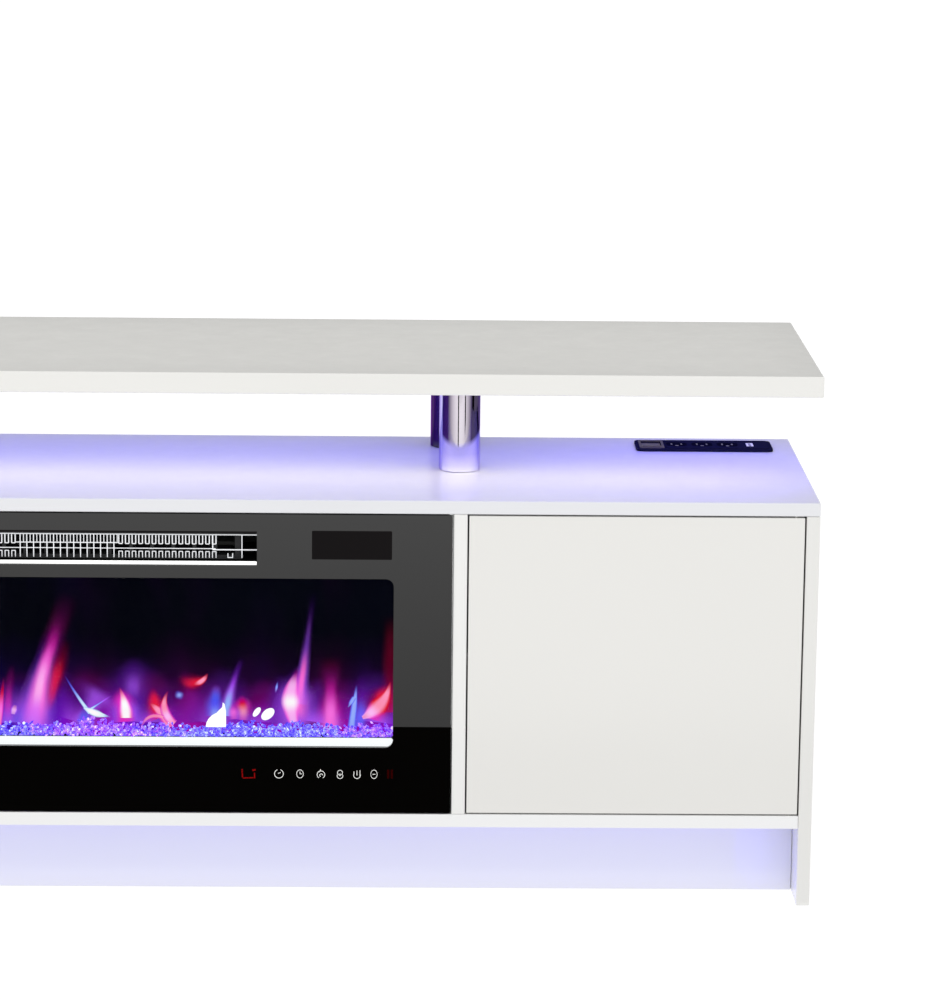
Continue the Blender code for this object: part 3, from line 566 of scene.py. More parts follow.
# place, size along X and across, turn about X, colour, power
LAMPS = {
    "under_board_rear": ((0.0, 0.085, 0.6195), (1.70, 0.150), 0.0, (0.01, 0.0, 1.0), 1.200),
    "under_board_middle": ((0.0, -0.060, 0.6155), (1.70, 0.020), 0.0, (1.0, 0.93, 0.56), 0.960),
    "under_board_front": ((0.0, -0.140, 0.6195), (1.70, 0.060), 0.0, (0.0, 0.0, 1.0), 0.500),
    "under_board_right": ((0.800, 0.020, 0.6195), (0.14, 0.260), 0.0, (0.06, 0.0, 1.0), 0.300),
    "under_board_left": ((-0.800, 0.020, 0.6195), (0.14, 0.260), 0.0, (0.06, 0.0, 1.0), 0.300),
    "under_cabinet": ((0.0, -0.165, 0.0930), (1.70, 0.020), 20.0, (0.0, 0.0, 1.0), 0.113),
    "before_plinth": ((0.0, -0.197, 0.0300), (1.76, 0.030), 90.0, (0.0, 0.02, 1.0), 0.130),
}
for name, (place, size, turn, colour, power) in LAMPS.items():
    lamp(name, place, size, colour, power, (radians(turn), 0.0, 0.0))
lamp("over_board", (0.0, 0.0, 0.700), (1.74, 0.36), (1.0, 0.99, 0.95), 0.235)
for end, side in (("left", -1), ("right", 1)):
    lamp(f"plinth_end_{end}", (side * 0.800, -0.186, 0.050), (0.020, 0.060), (0.0, 0.0, 1.0), 0.012,
         (0.0, radians(-90.0 * side), 0.0))


# ---------------------------------------------------------------- power strip
# A moulded navy power strip drops into a cut-out at the rear right of the cabinet top. It has a grey
# rocker, three recessed sockets and a white twin charging port.

navy = finish("navy_plastic", (0.0118, 0.0118, 0.034), rough=(0.45, 0.6), grain=900.0, relief=0.2, tone=0.15,
              Specular_IOR_Level=0.0)
dress("power_strip_housing", navy)
dress("power_strip_rocker", finish("rocker_grey", (0.108, 0.093, 0.092), rough=(0.35, 0.45), grain=700.0))


def rounded_edges(bm, centre, size, radius, axis="Y", segments=8):
    """A rounded rectangle's outline as a loop of edges, lying across the given axis."""
    flat = bmesh.new()
    bmesh.ops.create_grid(flat, x_segments=1, y_segments=1, size=0.5)
    bmesh.ops.scale(flat, vec=(size[0], size[1], 1.0), verts=flat.verts)
    bmesh.ops.bevel(flat, geom=flat.verts[:], offset=radius, affect="VERTICES", segments=segments,
                    profile=0.5, material=-1)
    bmesh.ops.delete(flat, geom=flat.faces[:], context="FACES_ONLY")
    stand = Matrix.Rotation(pi / 2, 4, "X") if axis == "Y" else Matrix.Identity(4)
    bmesh.ops.transform(flat, matrix=Matrix.Translation(centre) @ stand, verts=flat.verts)
    mesh = bpy.data.meshes.new("outline")
    flat.to_mesh(mesh)
    flat.free()
    first = len(bm.edges)
    bm.from_mesh(mesh)
    bpy.data.meshes.remove(mesh)
    bm.edges.ensure_lookup_table()
    return bm.edges[first:]


def plate(bm, outlines, thickness, axis="Y"):
    """Fill rounded outlines, the first outside and the rest holes, and give the sheet its thickness."""
    edges = []
    for centre, size, radius in outlines:
        edges += rounded_edges(bm, centre, size, radius, axis)
    normal = (0, -1, 0) if axis == "Y" else (0, 0, 1)
    filled = bmesh.ops.triangle_fill(bm, edges=edges, use_beauty=True, use_dissolve=True, normal=normal)
    faces = [item for item in filled["geom"] if isinstance(item, bmesh.types.BMFace)]
    grown = bmesh.ops.extrude_face_region(bm, geom=faces, use_keep_orig=True)
    moved = [item for item in grown["geom"] if isinstance(item, bmesh.types.BMVert)]
    shift = (0, thickness, 0) if axis == "Y" else (0, 0, -thickness)
    bmesh.ops.translate(bm, vec=shift, verts=moved)
    return bm


low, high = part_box("power_strip_housing")
strip_y = (low[1] + high[1]) / 2
strip_top = high[2]
SOCKET_SIZE, SOCKET_PITCH, SOCKET_MIDDLE, SOCKET_CORNER = 0.026, 0.032, 0.774, 0.006
FACE_MIDDLE, FACE_SIZE, FACE_RAISE, FACE_THICK = 0.7925, (0.129, 0.050), 0.0009, 0.0008
PORT_X, PORT_SIZE, BEZEL_WIDE, BEZEL_ROOM = 0.8345, (0.0096, 0.0226), 0.0310, 0.0010
face_z = strip_top + FACE_RAISE
socket_places = [SOCKET_MIDDLE + step * SOCKET_PITCH for step in (-1, 0, 1)]
face = [((FACE_MIDDLE, strip_y, face_z), FACE_SIZE, 0.005), ((PORT_X, strip_y, face_z), PORT_SIZE, 0.002)]
face += [((x, strip_y, face_z), (SOCKET_SIZE, SOCKET_SIZE), SOCKET_CORNER) for x in socket_places]
bezel_grey = finish("bezel_grey", (0.085, 0.072, 0.074), rough=(0.4, 0.5), grain=700.0,
                    Specular_IOR_Level=0.15)
low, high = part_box("power_strip_rocker")
bezel_centre = ((low[0] + high[0]) / 2, (low[1] + high[1]) / 2, face_z)
bezel = [(bezel_centre, (BEZEL_WIDE, FACE_SIZE[1]), 0.004),
         (bezel_centre, (high[0] - low[0] + BEZEL_ROOM, high[1] - low[1] + BEZEL_ROOM), 0.001)]
put(closed(plate(bmesh.new(), bezel, FACE_THICK, "Z")), "rocker_bezel", bezel_grey,
    angle=30)
put(closed(plate(bmesh.new(), face, FACE_THICK, "Z")), "power_strip_face", navy,
    angle=30)

socket_black = finish("socket_black", (0.004, 0.004, 0.014), rough=(0.45, 0.6), grain=900.0,
                      Specular_IOR_Level=0.0)
pale_metal = finish("socket_slots", (0.22, 0.21, 0.26), rough=(0.3, 0.45), metallic=0.6, grain=700.0)
SLOT_Z, SLOT_X, SLOT_WIDE, PIN_HOLE = strip_top + 0.0007, 0.0062, 0.0020, 0.0044
faces_bm, slots_bm = bmesh.new(), bmesh.new()
for x in socket_places:
    size = SOCKET_SIZE - 0.0008
    plate(faces_bm, [((x, strip_y, strip_top + 0.0004), (size, size), SOCKET_CORNER - 0.0004)], 0.0003, "Z")
    for across, deep in ((-SLOT_X, 0.0085), (SLOT_X, 0.0070)):
        plate(slots_bm, [((x + across, strip_y + 0.002, SLOT_Z), (SLOT_WIDE, deep), 0.0004)], 0.0002, "Z")
    plate(slots_bm, [((x, strip_y - 0.0075, SLOT_Z), (PIN_HOLE, PIN_HOLE), 0.0020)], 0.0002, "Z")
put(closed(faces_bm), "socket_faces", socket_black)
put(closed(slots_bm), "socket_slots", pale_metal)

port_white = finish("port_white", (0.86, 0.86, 0.84), rough=(0.3, 0.4), grain=700.0)
bm = bmesh.new()
for offset in (-0.0057, 0.0057):
    spot = (PORT_X, strip_y + offset, SLOT_Z)
    plate(bm, [(spot, (0.0088, 0.0108), 0.001), (spot, (0.0036, 0.0072), 0.0004)], 0.0006, "Z")
put(closed(bm), "charging_ports", port_white)


# ---------------------------------------------------------------- black glass front
# One tempered pane covers the insert. It is printed black on its back except for the flame window,
# and a slot is cut through it for the heater's outlet. Its edges are ground and polished, and its
# face carries a faint finger haze.

GLASS_LOW, GLASS_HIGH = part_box("front_glass")
WINDOW_HALF, WINDOW_LOW, WINDOW_HIGH, WINDOW_CORNER = 0.3865, 0.1940, 0.4000, 0.0095
VENT_HALF, VENT_LOW, VENT_HIGH = 0.225, 0.4155, 0.4545
glass_front = GLASS_LOW[1]
glass_thick = GLASS_HIGH[1] - GLASS_LOW[1]


def centred(low_x, high_x, low_z, high_z, y):
    return ((low_x + high_x) / 2, y, (low_z + high_z) / 2), (high_x - low_x, high_z - low_z)


printed = finish("printed_glass", (0.0016, 0.0014, 0.0012), rough=(0.0, 0.012), cloud=5.0, tone=0.25,
                 grain=40.0, relief=0.004, IOR=1.56)
bm = bmesh.new()
outer = centred(GLASS_LOW[0], GLASS_HIGH[0], GLASS_LOW[2], GLASS_HIGH[2], glass_front)
window = centred(-WINDOW_HALF, WINDOW_HALF, WINDOW_LOW, WINDOW_HIGH, glass_front)
vent = centred(-VENT_HALF, VENT_HALF, VENT_LOW, VENT_HIGH, glass_front)
plate(bm, [(*outer, 0.0008), (*window, WINDOW_CORNER), (*vent, 0.0015)], glass_thick)
glass_piece = put(closed(bm), "printed_glass_pane", printed, angle=30)
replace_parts(glass_piece, "front_glass")

clear, tree, shader = new_material("clear_window", Base_Color=(0.002, 0.002, 0.004), Alpha=0.016)
smear = noise(tree, here(tree), 9.0, 4.0, 0.6)
wire(tree, spread(tree, smear, 0.02, 0.07, 0.3, 0.7), shader.inputs["Roughness"])
bm = bmesh.new()
inset = 0.0002
window_glass = centred(-WINDOW_HALF + inset, WINDOW_HALF - inset, WINDOW_LOW + inset, WINDOW_HIGH - inset,
                       glass_front + 0.0004)
plate(bm, [(*window_glass, WINDOW_CORNER - inset)], 0.0020)
put(closed(bm), "clear_window_glass", clear, angle=30)


# ---------------------------------------------------------------- display window and touch keys
# A darker display window sits at the upper right, and a row of lit touch keys runs below the flames.
# The keys are thin light guides behind the print, with plain symbols and no words.

dress("display_module", finish("display_black", (0.006, 0.005, 0.006), rough=(0.1, 0.2), grain=300.0))
display_print = finish("display_print", (0.009, 0.0075, 0.008), rough=(0.45, 0.6), grain=300.0, tone=0.3,
                       Specular_IOR_Level=0.03)
bm = bmesh.new()
display = centred(0.2898, 0.3842, 0.4235, 0.4580, glass_front - 0.00015)
plate(bm, [(*display, 0.0012)], 0.0001)
put(closed(bm), "display_window", display_print)

# A thin dark print strip along the top of the outlet slot, which also stands for the painted shade under the
# slot's upper edge.
bm = bmesh.new()
slot_print_and_painted_shade = centred(-VENT_HALF, VENT_HALF, VENT_HIGH + 0.0002, VENT_HIGH + 0.0022, glass_front - 0.00015)
plate(bm, [(*slot_print_and_painted_shade, 0.0004)], 0.0001)
put(closed(bm), "slot_edge_print_and_painted_shade", display_print)

KEY_Z = 0.1612
KEY_PLACES = (0.2510, 0.2761, 0.3011, 0.3238, 0.3440, 0.3643)
KEY_STROKE = 0.00066
key_face = glass_front - 0.00012


def arc(bm, centre, radius, start=0.0, sweep=360.0, squeeze=1.0, width=KEY_STROKE):
    """A ribbon arc in the key's plane, from a start angle through a sweep, in degrees."""
    fresh = [bm.verts.new((radius + side * width / 2, 0.0, 0.0)) for side in (-1, 1)]
    edge = bm.edges.new(fresh)
    steps = max(4, int(abs(sweep) / 15))
    bmesh.ops.rotate(bm, cent=(0, 0, 0), matrix=Matrix.Rotation(-radians(start), 3, "Y"), verts=fresh)
    bmesh.ops.spin(bm, geom=fresh + [edge], axis=(0, -1, 0), cent=(0, 0, 0), angle=radians(sweep),
                   steps=steps)
    drawn = [vert for vert in bm.verts if not vert.tag]
    bmesh.ops.scale(bm, vec=(squeeze, 1.0, 1.0), verts=drawn)
    bmesh.ops.translate(bm, vec=(centre[0], key_face, centre[1]), verts=drawn)
    for vert in drawn:
        vert.tag = True


def dash(bm, centre, length, angle, width=KEY_STROKE):
    """A straight stroke in the key's plane."""
    place = (Matrix.Translation((centre[0], key_face, centre[1])) @ Matrix.Rotation(-radians(angle), 4, "Y")
             @ Matrix.Rotation(pi / 2, 4, "X") @ Matrix.Diagonal((length, width, 1.0, 1.0)))
    made = bmesh.ops.create_grid(bm, x_segments=1, y_segments=1, size=0.5, matrix=place)
    for vert in made["verts"]:
        vert.tag = True


def lit(name, colour, strength, flicker=0.15, base=0.1):
    """An even glow with a little unevenness from the print: a light guide's own light, and on the outlet lip
    a painted highlight.
    """
    mat, tree, shader = new_material(name, Base_Color=dimmed(colour, base), Roughness=0.4,
                                     Specular_IOR_Level=0.0, Emission_Strength=strength)
    uneven = noise(tree, here(tree), 700.0, 2.0)
    wire(tree, ramp(tree, uneven, [(0.3, dimmed(colour, 1.0 - flicker * 2)), (0.6, colour)]),
         shader.inputs["Emission Color"])
    return mat


bm = bmesh.new()
power, timer, flame_key, glow_key, warm_key, fan_key = [(x, KEY_Z) for x in KEY_PLACES]
arc(bm, power, 0.0053, 110, 320)
dash(bm, (power[0] + 0.0005, power[1] + 0.0010), 0.0035, 20)
arc(bm, timer, 0.0050, 0, 360, 0.8)
dash(bm, (timer[0], timer[1] + 0.0013), 0.0030, 90)
dash(bm, (timer[0] + 0.0012, timer[1]), 0.0028, 0)
arc(bm, (flame_key[0], flame_key[1] - 0.0008), 0.0046, -60, 300)
dash(bm, (flame_key[0] - 0.0012, flame_key[1] + 0.0040), 0.0040, 60)
arc(bm, (flame_key[0] + 0.0003, flame_key[1] - 0.0016), 0.0018, 0, 250)
arc(bm, (glow_key[0], glow_key[1] + 0.0018), 0.0030, 0, 360)
arc(bm, (glow_key[0], glow_key[1] - 0.0022), 0.0034, 150, 240)
dash(bm, (glow_key[0], glow_key[1] - 0.0008), 0.0034, 90)
arc(bm, (warm_key[0], warm_key[1] - 0.0014), 0.0040, 160, 220)
for offset, tall in ((-0.0036, 0.0040), (0.0, 0.0060), (0.0036, 0.0070)):
    dash(bm, (warm_key[0] + offset, warm_key[1] + 0.0014), tall, 90)
arc(bm, fan_key, 0.0053, 0, 360, 0.72)
dash(bm, fan_key, 0.0034, 0)
key_row = put(bm, "touch_key_symbols", lit("key_light", (0.95, 0.95, 0.92), 1.1), smooth=False)

bm = bmesh.new()
digit_x = 0.2153
dash(bm, (digit_x - 0.0080, KEY_Z + 0.0004), 0.0105, 92, 0.0016)
dash(bm, (digit_x, KEY_Z - 0.0052), 0.0150, 2, 0.0014)
dash(bm, (digit_x + 0.0066, KEY_Z - 0.0020), 0.0062, 92, 0.0014)
dash(bm, (digit_x + 0.0060, KEY_Z + 0.0045), 0.0040, 10, 0.0020)
put(bm, "digit_segments", lit("digit_red", (0.26, 0.004, 0.004), 1.0, 0.4),
    smooth=False)
bm = bmesh.new()
for offset in (-0.0022, 0.0022):
    dash(bm, (0.3834 + offset, KEY_Z + 0.0004), 0.0110, 90, 0.0026)
put(bm, "standby_marks", lit("standby_red", (0.030, 0.0005, 0.0005), 1.0, 0.4),
    smooth=False)


# ---------------------------------------------------------------- outlet grille, duct and heater
# A bright wire guard stands back in the heater's outlet, with the finned element and cross-flow fan
# behind it; its wire carries a painted glow. A polished lip lines the bottom of the slot, drawn as an
# even glow that is its painted highlight.

# Bright metal wire whose emission is a painted glow: the guard is no lamp.
bright_glow = finish("bright_wire", (0.80, 0.80, 0.82), rough=(0.2, 0.3), metallic=0.35, grain=900.0, tone=0.15,
                Emission_Color=(0.80, 0.82, 0.85), Emission_Strength=0.50)
low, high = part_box("vent_grille")
grille_y = (low[1] + high[1]) / 2
WIRE_RADIUS, WIRE_PITCH, MESH_HALF = 0.00062, 0.0079, 0.1755


def rod(bm, start, end, radius, sides=8):
    """A round wire between two points."""
    start, end = Vector(start), Vector(end)
    way = end - start
    turn = way.to_track_quat("Z", "Y").to_matrix().to_4x4()
    place = Matrix.Translation((start + end) / 2) @ turn
    bmesh.ops.create_cone(bm, cap_ends=True, segments=sides, radius1=radius, radius2=radius, depth=way.length,
                          matrix=place)


RAIL_TOP, RAIL_UPPER, RAIL_LOWER, WIRE_FOOT, END_RAIL = 0.4482, 0.4378, 0.4312, 0.4200, 0.4300
END_POST, DENSE_FROM, DENSE_HALF, LOWER_TOP = 0.2066, 0.060, 0.0021, 0.4276
STUB_SILL = 0.0006
STUB_POSTS, STUB_TOP, END_INSET, FRAME_GAP, LOOP_EASE = (0.1900, 0.1955), 0.4255, 0.0035, 0.0008, 0.0010


def upright(bm, x, foot, top, radius=WIRE_RADIUS):
    rod(bm, (x, grille_y, foot), (x, grille_y, top), radius)


def level(bm, start, end, z, radius=WIRE_RADIUS):
    rod(bm, (start, grille_y - 0.0008, z), (end, grille_y - 0.0008, z), radius)


bm = bmesh.new()
count = int(MESH_HALF / WIRE_PITCH)
for index in range(-count, count + 1):
    x = index * WIRE_PITCH
    if abs(x) < DENSE_FROM:
        upright(bm, x, WIRE_FOOT, RAIL_TOP)
        upright(bm, x + WIRE_PITCH / 2, RAIL_UPPER, RAIL_TOP, WIRE_RADIUS * 0.8)
    else:
        for side in (-DENSE_HALF, DENSE_HALF):
            upright(bm, x + side, RAIL_UPPER - LOOP_EASE, RAIL_TOP - 0.0012, WIRE_RADIUS * 1.1)
            upright(bm, x + side, WIRE_FOOT, LOWER_TOP, WIRE_RADIUS * 0.9)
        level(bm, x - DENSE_HALF, x + DENSE_HALF, LOWER_TOP, WIRE_RADIUS * 0.9)
        level(bm, x - DENSE_HALF, x + DENSE_HALF, RAIL_UPPER - LOOP_EASE)
level(bm, -high[0] + FRAME_GAP, high[0] - FRAME_GAP, RAIL_TOP, WIRE_RADIUS * 1.2)
level(bm, -DENSE_FROM, DENSE_FROM, RAIL_UPPER)
level(bm, -MESH_HALF, MESH_HALF, RAIL_LOWER, WIRE_RADIUS * 0.9)
for sign in (-1, 1):
    upright(bm, sign * (MESH_HALF - END_INSET), END_RAIL, RAIL_TOP, WIRE_RADIUS * 1.2)
    upright(bm, sign * END_POST, WIRE_FOOT, RAIL_TOP)
    level(bm, sign * (MESH_HALF - END_INSET), sign * (high[0] - FRAME_GAP), END_RAIL, WIRE_RADIUS * 1.3)
    for x in STUB_POSTS:
        upright(bm, sign * x, WIRE_FOOT, STUB_TOP)
    level(bm, sign * STUB_POSTS[0], sign * STUB_POSTS[1], WIRE_FOOT + STUB_SILL)
guard = put(bm, "wire_guard", bright_glow)
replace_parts(guard, "vent_grille")

# The polished lip glows evenly: a painted highlight, not a lamp.
lip_painted_highlight = lit("lip_painted_highlight", (0.98, 0.98, 0.97), 0.75, 0.04, base=0.9)
bm = bmesh.new()
place = (Matrix.Translation((0.0, glass_front + 0.0028, VENT_LOW + 0.0024))
         @ Matrix.Diagonal((2 * VENT_HALF - 0.0006, 0.0030, 0.0040, 1.0)))
bmesh.ops.create_cube(bm, size=1.0, matrix=place)
bmesh.ops.bevel(bm, geom=bm.edges[:], offset=0.0006, affect="EDGES", segments=2, profile=0.5, material=-1)
put(closed(bm), "outlet_lip", lip_painted_highlight)

galvanised = finish("galvanised", (0.42, 0.43, 0.44), rough=(0.3, 0.5), metallic=1.0, cloud=40.0, tone=0.25,
                    grain=200.0)
dress("heater_duct", finish("duct_black", (0.005, 0.005, 0.006), rough=(0.45, 0.6), grain=500.0))
dress("blower_motor", galvanised)
dress("spindle_motor", galvanised)
dress("heating_element", finish("element_fins", (0.020, 0.020, 0.022), rough=(0.5, 0.7), metallic=0.2,
                                grain=500.0))
dress("blower_wheel", black_plastic)
dress("supply_gland", black_plastic)


# ---------------------------------------------------------------- insert housing
# The insert is a box of folded black sheet steel with a fine powder coat, screwed at its flanges.
# Cooling slots and the supply gland are in its back.

powder = finish("powder_coat", (0.016, 0.016, 0.017), rough=(0.42, 0.6), cloud=12.0, tone=0.25, grain=1100.0,
                relief=0.4)
for side in ("left", "right", "top", "bottom", "back"):
    dress(f"housing_{side}", powder)
dress("ember_tray", powder)

screw_heads("housing_screws", ("housing_back",), (0.015, 0.17, 0.34, 0.5, 0.66, 0.83, 0.985), (0.03, 0.97))


# ---------------------------------------------------------------- flame screen, spindle and boards
# Light from a board of LEDs strikes foil petals on a turning spindle and plays on the back of a
# smoked, frosted screen. The screen glows violet low down and fades to black.

def screen_material():
    """Smoked acrylic that glows violet at its foot, in drifting patches, and is black above."""
    mat = finish("smoked_screen", (0.0005, 0.0006, 0.0011), rough=(0.5, 0.6), grain=300.0,
                 Specular_IOR_Level=0.0, Emission_Strength=1.0)
    tree = mat.node_tree
    place = split(tree, here(tree))
    wander = noise(tree, here(tree), 12.0, 3.0, 0.55, (1.0, 1.0, 0.35))
    lifted = calc(tree, "SUBTRACT", spread(tree, place["Z"], 0.0, 1.0, 0.208, 0.330),
                  spread(tree, wander, -0.22, 0.22, 0.3, 0.7))
    depth = ramp(tree, lifted,
                 [(0.0, 1.4), (0.16, 0.9), (0.34, 0.27), (0.52, 0.06), (0.75, 0.015), (1.0, 0.0)])
    hue = ramp(tree, noise(tree, here(tree), 9.0, 2.0, 0.5, (1.0, 1.0, 0.2)),
               [(0.36, (0.055, 0.006, 0.48)), (0.5, (0.14, 0.005, 0.42)), (0.64, (0.24, 0.003, 0.26))])
    smoke = ramp(tree, place["X"], [(0.0, (0.0002, 0.0003, 0.0018)), (1.0, (0.0001, 0.0003, 0.0034))])
    glow = mix_colour(tree, 1.0, mix_colour(tree, 1.0, hue, depth, "MULTIPLY"), smoke, "ADD")
    wire(tree, glow, tree.nodes["Principled BSDF"].inputs["Emission Color"])
    return mat


dress("flame_screen", screen_material())
dress("flame_spindle", finish("foil", (0.80, 0.80, 0.82), rough=(0.08, 0.2), metallic=1.0, cloud=30.0,
                              tone=0.1))
dress("spindle_bearing", nylon)
circuit = finish("solder_mask", (0.012, 0.10, 0.035), rough=(0.3, 0.42), cloud=60.0, tone=0.35, grain=900.0)
for board in ("flame_light_board", "touch_board", "control_board"):
    dress(board, circuit)


# ---------------------------------------------------------------- ember light and crystals
# A clear acrylic bar, lit from its ends, runs along the foot of the window. Behind it a bed of clear
# and blue glass crystals lies in the tray and scatters the violet light.

BAR_EASE = 0.0004
bar_mat = lit("bar_light", (0.94, 0.985, 1.0), 0.98, 0.02)
low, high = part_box("ember_light_bar")
bm = bmesh.new()
bar_outline = centred(low[0], high[0], low[2], high[2] - BAR_EASE, low[1])
plate(bm, [(*bar_outline, 0.0028)], high[1] - low[1])
bmesh.ops.bevel(bm, geom=[edge for edge in bm.edges if edge.calc_face_angle(0.0) > 1.0], offset=0.0004,
                affect="EDGES", segments=2, profile=0.5, material=-1)
light_bar = put(closed(bm), "acrylic_light_bar", bar_mat)
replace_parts(light_bar, "ember_light_bar")

dice = random.Random(11)
BED_COUNT = 3400
tray_low, tray_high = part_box("ember_tray")
BED_FLOOR, BED_BACK, BED_DEEP, BED_CREST = 0.2010, -0.1765, 0.0125, 0.0178
HEAP_X, HEAP_HALF, HEAP_HIGH = 0.031, 0.026, 0.0034


def bed_height(x):
    """The bed's crest along the tray: a few low heaps."""
    heap = HEAP_HIGH * max(0.0, 1.0 - ((x - HEAP_X) / HEAP_HALF) ** 2)
    waves = ((0.0012, 31.0, 0.8), (0.0014, 73.0, 0.0), (0.0010, 140.0, 2.0))
    return BED_CREST + heap + sum(height * sin(x * pitch + start) for height, pitch, start in waves)


bm = bmesh.new()
tint_and_glint_layer = bm.loops.layers.float_color.new("tint_and_glint")
for index in range(BED_COUNT):
    x = dice.uniform(tray_low[0] + 0.004, tray_high[0] - 0.004)
    deep = dice.random()
    y = BED_BACK - deep * BED_DEEP
    z = BED_FLOOR + dice.random() * bed_height(x) * (1.0 - 0.45 * deep)
    size = dice.uniform(0.0017, 0.0032)
    shape = Matrix.Diagonal((size * dice.uniform(0.45, 0.8), size * 0.7, size * dice.uniform(0.9, 1.5), 1.0))
    turn = Matrix.Rotation(dice.uniform(0, pi), 4, "Y") @ Matrix.Rotation(dice.uniform(0, pi), 4, "X")
    made = bmesh.ops.create_icosphere(bm, subdivisions=1, radius=1.0,
                                      matrix=Matrix.Translation((x, y, z)) @ turn @ shape)
    warm = 0.38 + 0.42 * sin(x * 17.0 + 1.0) + dice.uniform(-0.3, 0.3)
    # Each chip gets a random painted glint, and each facet a share of it, which lightens that facet's colour.
    painted_glint = dice.random()
    for face in {face for vert in made["verts"] for face in vert.link_faces}:
        painted_sheen = painted_glint * 0.6 + dice.random() * 0.4
        for loop in face.loops:
            loop[tint_and_glint_layer] = (painted_sheen, warm, dice.random(), 1.0)


def crystal_material():
    """Tinted glass chips lit from below: deep blue-violet cores, with painted pale highlights on their rims
    and painted glints on some facets.
    """
    mat, tree, shader = new_material("lit_crystal", Emission_Strength=0.85, Coat_Weight=0.6)
    parts = add(tree, "ShaderNodeSeparateColor")
    wire(tree, add(tree, "ShaderNodeAttribute", attribute_name="tint_and_glint").outputs["Color"], parts.inputs[0])
    # The first channel, the painted glint, runs each hue from deep to pale.
    cool = ramp(tree, parts.outputs[0], [(0.0, (0.030, 0.008, 0.40)), (0.48, (0.075, 0.045, 0.78)),
                                         (0.78, (0.27, 0.31, 1.0)), (0.96, (0.76, 0.88, 1.0))])
    warm = ramp(tree, parts.outputs[0], [(0.0, (0.08, 0.005, 0.38)), (0.48, (0.20, 0.025, 0.74)),
                                         (0.78, (0.42, 0.18, 1.0)), (0.96, (0.90, 0.72, 1.0))])
    body = mix_colour(tree, ramp(tree, parts.outputs[1], [(0.35, 0.0), (0.75, 1.0)]), cool, warm)
    facing = add(tree, "ShaderNodeLayerWeight", {"Blend": 0.5}).outputs["Facing"]
    # Painted pale highlights on the rims, where the chips turn away.
    painted_rims = mix_colour(tree, ramp(tree, facing, [(0.60, 0.0), (0.86, 1.0)]), body, (0.55, 0.52, 1.0))
    wire(tree, body, shader.inputs["Base Color"])
    wire(tree, painted_rims, shader.inputs["Emission Color"])
    wire(tree, spread(tree, noise(tree, here(tree), 500.0), 0.04, 0.22), shader.inputs["Roughness"])
    return mat


put(bm, "crystal_bed", crystal_material(), smooth=False)

# x, z, width, height and lean of the large clear stones
STONES = [(0.2240, 0.2325, 0.0066, 0.0135, 36), (0.2372, 0.2300, 0.0115, 0.0185, 48),
          (-0.2900, 0.2320, 0.0070, 0.0130, -30), (-0.1620, 0.2300, 0.0085, 0.0140, 25)]
STONE_DEPTH, STONE_THICK = -0.1825, 0.004
bm = bmesh.new()
for x, z, wide, tall, lean in STONES:
    place = (Matrix.Translation((x, STONE_DEPTH, z)) @ Matrix.Rotation(radians(lean), 4, "Y")
             @ Matrix.Diagonal((wide, STONE_THICK, tall, 1.0)))
    bmesh.ops.create_uvsphere(bm, u_segments=24, v_segments=16, radius=0.5, matrix=place)
put(closed(bm), "ice_stones", lit("ice_light", (0.93, 0.96, 1.0), 1.1, 0.06))

BLOCK_X, BLOCK_FOOT, BLOCK_SIZE, BLOCK_DEPTH = 0.1635, 0.2155, (0.0240, 0.0190), -0.1890
ROUND_SHOULDER = [(1 - cos(turn), sin(turn)) for turn in (radians(15 * step) for step in range(7))]
POINTED_CREST = [(0.80, 1.0), (0.84, 1.55), (0.93, 1.45), (1.0, 0.70), (1.0, 0.0)]
bm = bmesh.new()
for side, scale in ((1, 1.0), (-1, 0.8)):
    wide, tall = BLOCK_SIZE[0] * scale, BLOCK_SIZE[1] * scale
    rim = [bm.verts.new((side * (BLOCK_X + wide * across), BLOCK_DEPTH, BLOCK_FOOT + tall * up))
           for across, up in ROUND_SHOULDER + POINTED_CREST]
    face = bm.faces.new(rim)
    grown = bmesh.ops.extrude_face_region(bm, geom=[face], use_keep_orig=True)
    moved = [item for item in grown["geom"] if isinstance(item, bmesh.types.BMVert)]
    bmesh.ops.translate(bm, vec=(0.0, 0.003, 0.0), verts=moved)
put(closed(bm), "lit_blocks", lit("block_light", (0.95, 0.98, 1.0), 1.15, 0.05))


# ---------------------------------------------------------------- flames
# The flame images float just in front of the screen: soft tongues of light, pink and violet with
# white roots, red and blue among them. Each is a thin bent sheet whose glow fades to its edges.

WHITE, BLUSH, ORCHID = Vector((1.0, 0.97, 1.0)), Vector((1.0, 0.50, 0.94)), Vector((0.78, 0.20, 0.98))
PINK, MAGENTA, WINE = Vector((1.0, 0.16, 0.78)), Vector((0.8, 0.03, 0.52)), Vector((0.25, 0.004, 0.16))
VIOLET, INDIGO, BLUE = Vector((0.42, 0.1, 1.0)), Vector((0.13, 0.015, 0.4)), Vector((0.1, 0.12, 1.0))
SKY, ICE, ROSE = Vector((0.3, 0.42, 1.0)), Vector((0.62, 0.86, 1.0)), Vector((1.0, 0.3, 0.5))
RED, EMBER = Vector((0.8, 0.01, 0.04)), Vector((0.22, 0.0, 0.015))

